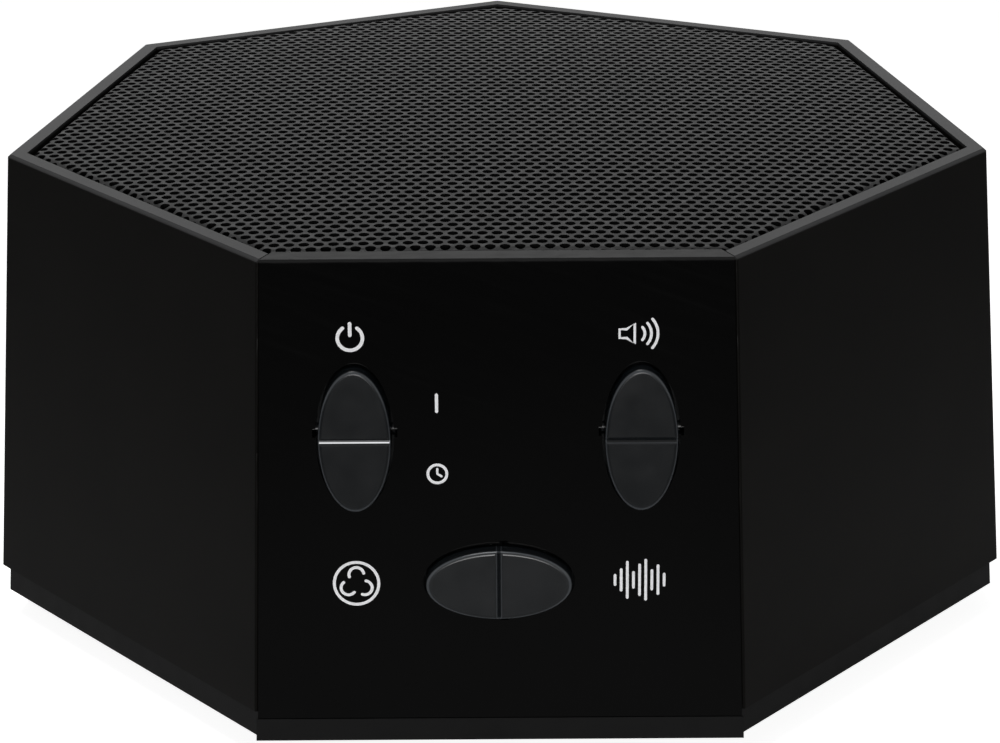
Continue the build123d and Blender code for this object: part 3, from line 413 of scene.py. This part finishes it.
class Finish:
    """A node material on object coordinates, built up from tone, roughness and relief."""

    def __init__(self, name, **sockets):
        self.material = bpy.data.materials.new(name)
        self.material.use_nodes = True
        self.tree = self.material.node_tree
        self.shader = self.tree.nodes["Principled BSDF"]
        self.place = self.tree.nodes.new("ShaderNodeTexCoord").outputs["Object"]
        self.relief = None
        for socket, value in sockets.items():
            self.shader.inputs[socket.replace("_", " ")].default_value = value

    def node(self, kind, **values):
        """New node. A value whose name is a socket sets or joins it, any other sets a property."""
        made = self.tree.nodes.new(kind)
        for name, value in values.items():
            socket = made.inputs.get(name.replace("_", " "))
            if socket is None:
                setattr(made, name, value)
            else:
                join(self.tree, value, socket)
        return made

    def feed(self, socket, value):
        """Joins value to a socket of the shader."""
        join(self.tree, value, self.shader.inputs[socket])

    def mix(self, share, low, high, kind="RGBA"):
        """Value or colour from low to high as share goes from 0 to 1."""
        made = self.node("ShaderNodeMix", data_type=kind)
        low_socket, high_socket, result = MIX_SOCKETS[kind]
        for index, value in ((0, share), (low_socket, low), (high_socket, high)):
            join(self.tree, value, made.inputs[index])
        return made.outputs[result]

    def stretched(self, scale, centre=(0, 0, 0), turn=(0, 0, 0)):
        """Object coordinates moved so that centre is the origin, turned and stretched."""
        moved = self.node("ShaderNodeMapping", vector_type="TEXTURE", Vector=self.place)
        moved.inputs["Location"].default_value = [value * MM for value in centre]
        moved.inputs["Rotation"].default_value = turn
        scaled = self.node("ShaderNodeMapping", vector_type="POINT", Vector=moved.outputs["Vector"])
        scaled.inputs["Scale"].default_value = scale
        return scaled.outputs["Vector"]

    def noise(self, size, detail=2.0, vector=None):
        """Cloudy noise whose patches are about size millimetres wide."""
        made = self.node("ShaderNodeTexNoise", Scale=PER_METRE / size, Detail=detail)
        self.tree.links.new(vector or self.place, made.inputs["Vector"])
        return made.outputs["Fac"]

    def cells(self, size, vector=None):
        """Distance inside scattered cells about size millimetres wide."""
        made = self.node("ShaderNodeTexVoronoi", Scale=PER_METRE / size)
        self.tree.links.new(vector or self.place, made.inputs["Vector"])
        return made.outputs["Distance"]

    def wave(self, size, axis="X", rings=False, vector=None, blur=0.0, profile="SIN"):
        """Parallel bands, or rings round an axis, size millimetres from crest to crest."""
        made = self.node("ShaderNodeTexWave", wave_type="RINGS" if rings else "BANDS", wave_profile=profile)
        setattr(made, "rings_direction" if rings else "bands_direction", axis)
        made.inputs["Scale"].default_value = PER_METRE / size * 2 * math.pi / WAVE_STEP
        made.inputs["Distortion"].default_value = blur
        self.tree.links.new(vector or self.place, made.inputs["Vector"])
        return made.outputs["Fac"]

    def between(self, value, low, high, start=0.3, stop=0.7):
        """A value from low to high as the given one goes from start to stop."""
        spans = {"From_Min": start, "From_Max": stop, "To_Min": low, "To_Max": high}
        return self.node("ShaderNodeMapRange", Value=value, **spans).outputs["Result"]

    def tone(self, value, stops):
        """Colour ramp through (position, colour) stops."""
        made = self.node("ShaderNodeValToRGB", Fac=value)
        elements = made.color_ramp.elements
        while len(elements) < len(stops):
            elements.new(0.5)
        for element, (position, colour) in zip(elements, stops):
            element.position = position
            element.color = (*colour, 1.0)
        return made.outputs["Color"]

    def colour(self, value, stops):
        """Base colour from a ramp through stops."""
        self.feed("Base Color", self.tone(value, stops))

    def rough(self, value, low, high, start=0.3, stop=0.7):
        """Roughness from low to high as value goes from start to stop."""
        self.feed("Roughness", self.between(value, low, high, start, stop))

    def bump(self, value, height, strength=0.5):
        """Relief height micrometres deep, on top of the relief so far."""
        made = self.node("ShaderNodeBump", Strength=strength, Distance=height * MICROMETRE, Height=value)
        if self.relief is not None:
            self.tree.links.new(self.relief, made.inputs["Normal"])
        self.relief = made.outputs["Normal"]
        self.feed("Normal", self.relief)


BLACK, WHITE = (0.0, 0.0, 0.0), (1.0, 1.0, 1.0)


def shades(dark, light, start=0.35, stop=0.65):
    """Ramp stops for the middle range of a noise, from dark to light."""
    return [(start, dark), (stop, light)]


def grey(value):
    """Grey with a trace of blue."""
    return (value, value, value * 1.02)


def moulded(name, low, high, rough, spark=0.18, depth=7.0, level=0.2):
    """Moulded plastic: a spark-eroded grain, faint flow clouds and slightly uneven sheen."""
    made = Finish(name, Specular_IOR_Level=level)
    made.colour(made.noise(9.0, 4.0), shades(low, high))
    made.rough(made.noise(3.0, 3.0), rough - 0.05, rough + 0.05)
    made.bump(made.noise(spark, 3.0), depth)
    made.bump(made.noise(14.0, 1.0), 12.0, 0.25)
    return made


def painted(name, low, high, rough, level=0.3, peel=5.0):
    """Powder coat: fine orange peel over sheet, with a few duller specks."""
    made = Finish(name, Specular_IOR_Level=level)
    made.colour(made.noise(5.0, 5.0), shades(low, high))
    made.rough(made.cells(0.9), rough - 0.08, rough + 0.06, 0.1, 0.6)
    made.bump(made.noise(0.22, 2.0), peel)
    return made


def plated(name, low, high, rough, ring_axis=None, centre=(0, 0, 0), turn=(0, 0, 0)):
    """Plated steel: turned rings round an axis or rolled streaks, over a mottled bright tone."""
    made = Finish(name, Metallic=1.0)
    if ring_axis:
        lines = made.wave(0.35, ring_axis, True, made.stretched((1, 1, 1), centre, turn), 0.6)
    else:
        lines = made.noise(0.9, 4.0, made.stretched((0.08, 1.0, 1.0), centre, turn))
    made.colour(made.noise(2.4, 5.0), shades(low, high))
    made.rough(lines, rough - 0.07, rough + 0.1)
    made.bump(lines, 3.0, 0.3)
    return made


def rubbery(name, low, high, rough=0.75, size=0.12, depth=9.0):
    """Rubber or foam: matt, closely pitted, a little dusty in the hollows."""
    made = Finish(name, Specular_IOR_Level=0.3)
    pits = made.cells(size)
    made.colour(made.noise(3.5, 4.0), shades(low, high))
    made.rough(pits, rough + 0.1, rough - 0.06, 0.1, 0.7)
    made.bump(pits, depth)
    return made


def circuit(name, across, up):
    """Solder mask over copper runs: bands at right angles, shown through as a lighter green."""
    made = Finish(name, Specular_IOR_Level=0.5)
    long_runs = made.wave(1.9, across, blur=1.4, profile="SAW")
    short_runs = made.wave(2.6, up, blur=1.1, profile="SAW")
    blocks = maths(made.tree, "GREATER_THAN", made.noise(7.0, 0.0), 0.5)
    copper = made.mix(blocks, long_runs, short_runs, "FLOAT")
    made.colour(copper, [(0.30, (0.008, 0.085, 0.028)), (0.42, (0.016, 0.15, 0.05))])
    made.rough(made.noise(1.5, 3.0), 0.28, 0.4)
    made.bump(copper, 25.0, 0.4)
    made.bump(made.noise(0.35, 3.0), 4.0)
    return made


def woven(name, low, high, size):
    """Resin-dipped cloth: threads over and under in two directions, darker where resin pools."""
    made = Finish(name, Specular_IOR_Level=0.35)
    weave = maths(made.tree, "MULTIPLY", made.wave(size, "X"), made.wave(size, "Y"))
    made.colour(made.noise(2.0, 5.0), shades(low, high))
    made.rough(weave, 0.85, 0.6, 0.0, 1.0)
    made.bump(weave, 60.0, 0.6)
    return made


def lit(name, tint, strength, centre, turn, half):
    """Light guide: a bright core half millimetres to each side of its middle line, dim towards its edges."""
    made = Finish(name, Roughness=0.3)
    unlit = [tuple(value * share for value in tint) for share in (0.10, 0.13)]
    made.colour(made.noise(1.2, 3.0), shades(*unlit))
    made.bump(made.noise(0.2, 2.0), 4.0)
    apart = made.node("ShaderNodeSeparateXYZ", Vector=made.stretched((1, 1, 1), centre, turn))
    away = maths(made.tree, "ABSOLUTE", apart.outputs["Z"])
    core = made.between(away, 1.0, 0.04, half * MM, half * MM * 1.8)
    made.feed("Emission Color", made.tone(core, [(0.0, BLACK), (1.0, tint)]))
    made.feed("Emission Strength", strength)
    return made


FACE_TURN = (-LEAN, 0, 0)
# ramp of the painted highlight across a key's rounded edge
PAINTED_EDGE_HIGHLIGHT = [(0.0, BLACK), (0.45, (0.08, 0.08, 0.08)), (0.64, WHITE), (0.80, WHITE), (0.92, BLACK)]


def keyed(name, low, high, edge, rough, level, centre, half_across, half_down, axis, groove_highlight_offsets):
    """Satin key with a fine painted highlight where its edge is rounded: the line follows the ellipse on
    which (across / half_across) squared and (down / half_down) squared add up to just under one. The same
    painted highlight runs along its groove's sides, groove_highlight_offsets millimetres from the middle
    along axis."""
    made = Finish(name, Specular_IOR_Level=level)
    plan = made.stretched((PER_METRE / half_across, 0, PER_METRE / half_down), centre, FACE_TURN)
    reach = made.node("ShaderNodeVectorMath", operation="LENGTH")
    join(made.tree, plan, reach.inputs[0])
    near = made.between(reach.outputs["Value"], 0.0, 1.0, 0.90, 1.0)
    line = made.tone(near, PAINTED_EDGE_HIGHLIGHT)
    apart = made.node("ShaderNodeSeparateXYZ", Vector=made.stretched((1, 1, 1), centre, FACE_TURN))
    for place in groove_highlight_offsets:
        away = maths(made.tree, "SUBTRACT", apart.outputs[axis], place * MM)
        size = maths(made.tree, "ABSOLUTE", away)
        groove = made.between(size, 0.7, 0.0, 0.03 * MM, 0.07 * MM)
        line = maths(made.tree, "MAXIMUM", line, groove)
    plastic = made.tone(made.noise(9.0, 4.0), shades(low, high))
    # the pale line mixed into the colour is a painted highlight on the rounded edge and along the groove's
    # sides
    made.feed("Base Color", made.mix(line, plastic, (*edge, 1.0)))
    made.rough(made.noise(3.0, 3.0), rough - 0.03, rough + 0.03)
    made.bump(made.noise(0.10, 3.0), 2.0)
    return made


def moulding_with_painted_rim_sheen(name, low, high, rim_painted_sheen_low, rim_painted_sheen_high, rough, rim_rough, height, level):
    """Satin moulding whose flat rim, from height millimetres up, is smoother and painted paler, a painted
    sheen.
    """
    made = Finish(name, Specular_IOR_Level=level)
    apart = made.node("ShaderNodeSeparateXYZ", Vector=made.place)
    top = made.between(apart.outputs["Z"], 0.0, 1.0, height * MM, (height + 0.3) * MM)
    cloud = made.noise(9.0, 4.0)
    walls, rim = made.tone(cloud, shades(low, high)), made.tone(cloud, shades(rim_painted_sheen_low, rim_painted_sheen_high))
    # the rim's paler tone is a painted sheen where the top catches the light
    made.feed("Base Color", made.mix(top, walls, rim))
    made.rough(top, rough, rim_rough, 0.0, 1.0)
    made.bump(made.noise(0.18, 3.0), 7.0)
    made.bump(made.noise(14.0, 1.0), 12.0, 0.25)
    return made


# on the shell, the rim above this height is also painted paler, a painted sheen
RIM_SATIN = RIM_TOP - 0.45  # height from which the rim is satin


def panel_gloss():
    """Piano-black fascia: deep gloss with a very slight orange peel and hair-fine wiping marks, and a
    satin rim along its top edge."""
    made = Finish("gloss_black_panel", Specular_IOR_Level=0.095)
    made.colour(made.noise(20.0, 3.0), shades(grey(0.0003), grey(0.0006)))
    wiped = made.noise(0.7, 5.0, made.stretched((0.05, 1.0, 1.0), turn=(0, 0.35, 0)))
    apart = made.node("ShaderNodeSeparateXYZ", Vector=made.place)
    rim = made.between(apart.outputs["Z"], 0.0, 0.34, RIM_SATIN * MM, (RIM_TOP - 0.15) * MM)
    gloss = made.between(wiped, 0.06, 0.13, 0.4, 0.75)
    made.feed("Roughness", maths(made.tree, "ADD", gloss, rim))
    made.bump(made.noise(6.0, 1.0), 10.0, 0.12)
    return made


KEY_HALF_SHORT = 3.65
KEY_HALF_LONG = 7.4
KEY_SIDE = 14.3  # from the panel's middle line to the middle of each upright key
KEY_DOWN = 18.45  # from the rim to the middle of the upright keys
SOUND_KEY_DOWN = 33.7
# the painted highlight along a groove lies this far from its middle
GROOVE_HIGHLIGHT_OFFSET = 0.24  # from the middle of a key's groove to the line along its side
LIGHT_SET_DOWN = 0.07  # how far the light line lies below the middle of its key
LIGHT_HALF = 0.045  # half the width of its bright core

face_origin = np.array([0.0, AXIS_Y - flat_at(RIM_TOP), RIM_TOP])
face_right = np.array([1.0, 0.0, 0.0])
face_down = np.array([0.0, -math.sin(LEAN), -math.cos(LEAN)])
face_out = np.array([0.0, -math.cos(LEAN), math.sin(LEAN)])
key_middle = face_origin - KEY_SIDE * face_right + KEY_DOWN * face_down
volume_middle = key_middle + 2 * KEY_SIDE * face_right
sound_middle = face_origin + SOUND_KEY_DOWN * face_down
light_middle = key_middle + LIGHT_SET_DOWN * face_down
upright = (KEY_HALF_SHORT, KEY_HALF_LONG, "Z")
lying = (KEY_HALF_LONG, KEY_HALF_SHORT, "X")

# dark and light of the plastic, the painted edge highlight, roughness and specular level
key_tones = ((0.0022, 0.0030, 0.0038), (0.0029, 0.0038, 0.0047), (0.040, 0.044, 0.049), 0.24, 0.20)
sound_tones = ((0.0050, 0.0060, 0.0070), (0.0060, 0.0070, 0.0082), (0.050, 0.055, 0.061), 0.24, 0.26)

# dark and light of the walls, then of the rim, whose paler tones are a painted sheen
shell_tones = ((0.0026, 0.0024, 0.0021), (0.0036, 0.0033, 0.0029), grey(0.036), grey(0.044))
light_tint = (0.85, 0.86, 0.88)
laminate_tones = ((0.20, 0.095, 0.022), (0.28, 0.14, 0.04))

finishes = {
    "shell_plastic": moulding_with_painted_rim_sheen("satin_black_shell", *shell_tones, 0.35, 0.33, RIM_SATIN, 0.045),
    "panel_plastic": panel_gloss(),
    "key_plastic": keyed("satin_power_key", *key_tones, key_middle, *upright, ()),
    "light_bar": lit("lit_light_guide", light_tint, 0.9, light_middle, FACE_TURN, LIGHT_HALF),
    "grille_steel": painted("satin_black_grille", grey(0.0090), grey(0.0122), 0.45, level=0.135, peel=2.0),
    "base_plastic": moulded("satin_black_base", grey(0.0034), grey(0.0048), 0.42, level=0.075),
    "foot_rubber": rubbery("black_rubber_feet", grey(0.008), grey(0.014)),
    "screw_steel": plated("zinc_screws", grey(0.45), grey(0.60), 0.3, "Z"),
    "board": circuit("green_circuit_board", "X", "Y"),
    "chip": moulded("moulded_chip_black", grey(0.012), grey(0.018), 0.55, spark=0.06, depth=5.0, level=0.4),
    "connector": moulded("natural_nylon", (0.62, 0.59, 0.50), (0.72, 0.69, 0.60), 0.45, level=0.5),
    "capacitor_sleeve": moulded("blue_sleeve", (0.010, 0.014, 0.045), (0.016, 0.022, 0.07), 0.25, level=0.5),
    "ferrite": rubbery("sintered_ferrite", grey(0.030), grey(0.055), 0.6, 0.35, 14.0),
    "switch_body": moulded("switch_black", grey(0.015), grey(0.022), 0.5, spark=0.08, level=0.4),
    "plunger": moulded("plunger_grey", grey(0.26), grey(0.31), 0.45, spark=0.08, level=0.5),
    "led_lens": moulded("milky_lens", grey(0.74), grey(0.82), 0.2, spark=0.3, depth=2.0, level=0.5),
    "basket_steel": painted("black_basket", grey(0.014), grey(0.022), 0.42),
    "plate_steel": plated("zinc_plates", grey(0.40), grey(0.54), 0.34, "Z", (0, AXIS_Y, 0)),
    "cone": moulded("cone_film", grey(0.018), grey(0.028), 0.5, spark=0.5, depth=9.0, level=0.35),
    "surround_rubber": rubbery("surround_rubber", grey(0.011), grey(0.018), 0.6, 0.08, 4.0),
    "spider_cloth": woven("spider_cloth", (0.36, 0.20, 0.045), (0.48, 0.29, 0.08), 0.55),
    "gasket_foam": rubbery("gasket_foam", grey(0.022), grey(0.040), 0.85, 0.30, 40.0),
    "terminal_board": moulded("brown_laminate", *laminate_tones, 0.5, spark=0.4, level=0.4),
    "jack_plastic": moulded("jack_black", grey(0.012), grey(0.018), 0.4, level=0.4),
    "lead_red": rubbery("red_lead", (0.38, 0.012, 0.010), (0.47, 0.020, 0.016), 0.5, 0.2, 3.0),
    "lead_black": rubbery("black_lead", grey(0.010), grey(0.016), 0.5, 0.2, 3.0),
}
coil = Finish("copper_winding", Metallic=0.85)
coil.colour(coil.wave(0.16, "Z"), [(0.25, (0.30, 0.11, 0.045)), (0.6, (0.62, 0.27, 0.13))])
coil.rough(coil.noise(0.8, 3.0), 0.25, 0.4)
coil.bump(coil.wave(0.16, "Z"), 35.0, 0.7)
finishes["coil"] = coil
finishes["jack_pin"] = plated("nickel_pin", grey(0.52), grey(0.64), 0.22)
ribbon = Finish("grey_ribbon", Specular_IOR_Level=0.4)
ribbon.colour(ribbon.noise(4.0, 4.0), shades(grey(0.36), grey(0.44)))
ribbon.rough(ribbon.noise(1.0, 3.0), 0.45, 0.6)
ribbon.bump(ribbon.wave(1.27, "X"), 120.0, 0.6)
finishes["ribbon"] = ribbon
ink = Finish("white_ink", Specular_IOR_Level=0.2)
ink.colour(ink.noise(0.35, 4.0), shades(grey(0.88), grey(0.94)))
ink.rough(ink.noise(0.8, 3.0), 0.45, 0.6)
ink.bump(ink.noise(0.15, 2.0), 3.0)

for part in frame["record"]["subparts"]:
    node = frame["nodes"][part["node"]]
    material = finishes[part["material_slot"]].material
    for held in node.material_slots:
        held.material = material

# the two keys without a light have finishes of their own, with painted highlights along their grooves
volume_finish = keyed("satin_volume_key", *key_tones, volume_middle, *upright, (-GROOVE_HIGHLIGHT_OFFSET,))
sound_finish = keyed("satin_sound_key", *sound_tones, sound_middle, *lying, (-GROOVE_HIGHLIGHT_OFFSET, GROOVE_HIGHLIGHT_OFFSET))
for name, finish in (("volume_rocker", volume_finish), ("sound_rocker", sound_finish)):
    for held in frame["nodes"][name].material_slots:
        held.material = finish.material

# the hole walls and cut edges are painted darker, painted shade where light hardly reaches
hole_wall_shade_finish = painted("hole_walls_painted_shade", grey(0.0014), grey(0.0024), 0.6, level=0.05)
make_grille(finishes["grille_steel"].material, hole_wall_shade_finish.material)

# ------------------------------------------------------------------ printed signs on the panel

INK = 0.02  # how far a line of ink stands out of the panel, and how far it reaches in
LINE_TIP = 0.02  # least half-width of a line's rounded end, as a share of its width


def on_face(across, down, out):
    """Point on the panel: across to the right, down from the rim and out from its surface."""
    across, down, out = (np.asarray(value, float)[..., None] for value in (across, down, out))
    return face_origin + across * face_right + down * face_down + out * face_out


def ink_line(path, width, closed=False):
    """A printed line: a band of even width along path, its ends rounded by a half-circle, as thick as ink."""
    path = np.asarray(path, float)
    if closed:
        run = np.roll(path, -1, 0) - np.roll(path, 1, 0)
        half = np.full(len(path), width / 2)
    else:
        way = path[1] - path[0]
        back = path[-2] - path[-1]
        cap = np.sin(np.linspace(0, math.pi / 2, 5))
        shift = (1 - np.sqrt(1 - cap[:-1] ** 2)) * width / 2
        start = path[0] - way / np.linalg.norm(way) * (width / 2 - shift)[:, None]
        stop = (path[-1] - back / np.linalg.norm(back) * (width / 2 - shift)[:, None])[::-1]
        rise = np.sqrt(np.maximum((width / 2) ** 2 - (width / 2 - shift) ** 2, (LINE_TIP * width) ** 2))
        path = np.concatenate([start, path, stop])
        half = np.concatenate([rise, np.full(len(path) - 2 * len(rise), width / 2), rise[::-1]])
        run = np.gradient(path, axis=0)
    run = run / np.linalg.norm(run, axis=1)[:, None]
    left = np.column_stack([-run[:, 1], run[:, 0]])
    sides = [(left, INK), (-left, INK), (-left, -INK), (left, -INK)]
    points = [on_face(*(path + side * half[:, None]).T, np.full(len(path), out)) for side, out in sides]
    rings = np.stack(points, 1)
    faces = closed_rings(rings)
    if closed:
        last = (len(path) - 1) * 4
        faces = faces[:-2] + [[last + k, last + (k + 1) % 4, (k + 1) % 4, k] for k in range(4)]
    return rings.reshape(-1, 3), faces


def arc(across, down, radius, start, stop, steps=24):
    """Points of an arc, angles in degrees clockwise from the top."""
    angle = np.radians(np.linspace(start, stop, steps))
    return np.column_stack([across + radius * np.sin(angle), down - radius * np.cos(angle)])


def ring(across, down, radius, steps=40):
    """Points of a whole circle."""
    return arc(across, down, radius, 0, 360, steps + 1)[:-1]


def printed(name, lines):
    """One sign made of several ink lines."""
    make_piece(name, *join_solids(lines), ink.material, "housing", smooth=40)


# each sign is drawn round its own middle x, y: across from the panel's middle line and down from the rim
x, y = -14.6, 8.1
stroke = ink_line([(x, y - 1.5), (x, y - 0.3)], 0.36)
printed("sign_standby", [ink_line(arc(x, y, 1.25, 35, 325), 0.36), stroke])

x, y = 14.0, 7.8
horn = [(-1.9, -0.45), (-1.2, -0.45), (-0.4, -1.05), (-0.4, 1.05), (-1.2, 0.45), (-1.9, 0.45)]
waves = ((1.0, 12), (1.65, 14), (2.3, 16))
lines = [ink_line([(x + across, y + down) for across, down in horn], 0.28, True)]
lines += [ink_line(arc(x - 0.4, y, radius, 50, 130, steps), 0.28) for radius, steps in waves]
printed("sign_loudness", lines)

x, y = -6.1, 14.9
printed("sign_on", [ink_line([(x, y - 0.85), (x, y + 0.85)], 0.32)])

x, y = -6.1, 22.3
hands = ink_line([(x, y - 0.5), (x, y), (x + 0.4, y + 0.25)], 0.24)
printed("sign_timer", [ink_line(ring(x, y, 0.95), 0.28, True), hands])

x, y = -14.4, 33.9
lines = [ink_line(ring(x, y, 2.25), 0.3, True)]
for turn in (0, 2.0944, 4.18879):  # radians, a third of a turn apart
    across, down, degrees = x + 0.95 * math.sin(turn), y - 0.95 * math.cos(turn), math.degrees(turn)
    lines.append(ink_line(arc(across, down, 0.75, degrees - 110, degrees + 80), 0.3))
printed("sign_fan", lines)

x, y = 14.2, 33.7
bar_step = 0.62
half_heights = (0.5, 1.1, 1.9, 0.8, 1.6, 2.1, 1.0, 1.5, 0.6)
lines = []
for k, half in enumerate(half_heights):
    across = x + (k - len(half_heights) // 2) * bar_step
    lines.append(ink_line([(across, y - half), (across, y + half)], 0.28))
printed("sign_noise", lines)

# ------------------------------------------------------------------ camera, floor and light

SENSOR_WIDTH = 36.0
PICTURE_WIDTH = 1000  # in pixels
FOCAL_PIXELS = 3575.4
CAMERA_PLACE = (0.9404, -385.652, 164.306)
CAMERA_TURNS = (20.11, -0.12, -0.40)  # down, round and tilted, in degrees

camera_data = bpy.data.cameras.new("camera")
camera_data.sensor_width = SENSOR_WIDTH
camera_data.lens = FOCAL_PIXELS * SENSOR_WIDTH / PICTURE_WIDTH
camera_data.clip_start = 0.01
camera_data.clip_end = 20.0
camera = bpy.data.objects.new("camera", camera_data)
bpy.context.scene.collection.objects.link(camera)
pitch, yaw, roll = (math.radians(turn) for turn in CAMERA_TURNS)


def about_z(angle):
    """Matrix of a turn round the third axis."""
    cosine, sine = math.cos(angle), math.sin(angle)
    return np.array([[cosine, -sine, 0], [sine, cosine, 0], [0, 0, 1]])


level_view = np.array([[1.0, 0, 0], [0, 0, -1.0], [0, 1.0, 0]])
dip = np.array([[1, 0, 0], [0, math.cos(pitch), -math.sin(pitch)], [0, math.sin(pitch), math.cos(pitch)]])
view = about_z(roll) @ dip @ level_view @ about_z(yaw)
pose = np.eye(4)
pose[:3, 0], pose[:3, 1], pose[:3, 2] = view[0], -view[1], -view[2]
pose[:3, 3] = np.array(CAMERA_PLACE) * MM
camera.matrix_world = Matrix(pose.tolist())
bpy.context.scene.camera = camera


def shader(tree, kind, **values):
    """New shader node with its sockets set or joined."""
    made = tree.nodes.new(kind)
    for name, value in values.items():
        join(tree, value, made.inputs[name])
    return made


FLOOR_DROP = 0.02  # the floor lies this far below the feet, so that the two never coincide
FLOOR_HALF = 3  # metres
FLOOR_GLOW = 0.88  # makes the floor white where the camera sees it
FLOOR_GLOW_MIRRORED = 0.03
SKY_STRENGTH = 0.12
FULL_WHITE = (1, 1, 1, 1)

floor_mesh = bpy.data.meshes.new("floor")
quarters = ((-1, -1), (1, -1), (1, 1), (-1, 1))
floor_corners = [(FLOOR_HALF * across, FLOOR_HALF * back, -FLOOR_DROP * MM) for across, back in quarters]
floor_mesh.from_pydata(floor_corners, [], [[0, 1, 2, 3]])
floor = bpy.data.objects.new("floor", floor_mesh)
bpy.context.scene.collection.objects.link(floor)
floor_material = bpy.data.materials.new("pale_floor")
floor_material.use_nodes = True
floor_mesh.materials.append(floor_material)
tree = floor_material.node_tree
tree.nodes.clear()
ray = tree.nodes.new("ShaderNodeLightPath").outputs
mirrored = maths(tree, "ADD", ray["Is Glossy Ray"], ray["Is Transmission Ray"])
faint = maths(tree, "MULTIPLY", mirrored, FLOOR_GLOW_MIRRORED)
strength = maths(tree, "MULTIPLY_ADD", ray["Is Camera Ray"], FLOOR_GLOW, faint)
paint = shader(tree, "ShaderNodeBsdfDiffuse", Color=(0.86, 0.86, 0.86, 1))
glow = shader(tree, "ShaderNodeEmission", Color=FULL_WHITE, Strength=strength)
both = tree.nodes.new("ShaderNodeAddShader")
join(tree, paint.outputs[0], both.inputs[0])
join(tree, glow.outputs[0], both.inputs[1])
shader(tree, "ShaderNodeOutputMaterial", Surface=both.outputs[0])

# the world lights the object faintly and is plain white where it is seen or mirrored
world = bpy.data.worlds.new("studio")
bpy.context.scene.world = world
world.use_nodes = True
tree = world.node_tree
tree.nodes.clear()
ray = tree.nodes.new("ShaderNodeLightPath").outputs
seen = maths(tree, "MAXIMUM", ray["Is Camera Ray"], ray["Is Transmission Ray"])
seen_or_mirrored = maths(tree, "MAXIMUM", seen, ray["Is Glossy Ray"])
sky = shader(tree, "ShaderNodeBackground", Color=FULL_WHITE, Strength=SKY_STRENGTH)
plain = shader(tree, "ShaderNodeBackground", Color=FULL_WHITE, Strength=1.0)
mix = shader(tree, "ShaderNodeMixShader", Fac=seen_or_mirrored)
join(tree, sky.outputs[0], mix.inputs[1])
join(tree, plain.outputs[0], mix.inputs[2])
shader(tree, "ShaderNodeOutputWorld", Surface=mix.outputs[0])


ACROSS_FROM = (0, 1, 0.01)  # a light's own across runs at right angles to this


def soft_light(name, place, target, size, watts, spread):
    """Square soft box at place, facing target. Lengths are in metres and its spread is in degrees."""
    lamp = bpy.data.lights.new(name, "AREA")
    lamp.shape = "SQUARE"
    lamp.size = size
    lamp.energy = watts
    lamp.spread = math.radians(spread)
    light = bpy.data.objects.new(name, lamp)
    place, target = np.array(place), np.array(target)
    back = (place - target) / np.linalg.norm(place - target)
    right = np.cross(ACROSS_FROM, back)
    right /= np.linalg.norm(right)
    turn = np.eye(4)
    turn[:3, 0], turn[:3, 1], turn[:3, 2], turn[:3, 3] = right, np.cross(back, right), back, place
    light.matrix_world = Matrix(turn.tolist())
    bpy.context.scene.collection.objects.link(light)


soft_light("overhead_soft_box", (-0.08, -0.05, 0.60), (0, -0.02, 0.03), 0.24, 0.13, 42)
soft_light("front_soft_box", (0.0, -0.95, 0.12), (0, 0, 0.03), 0.30, 0.36, 50)

bpy.context.scene.view_settings.view_transform = "Standard"
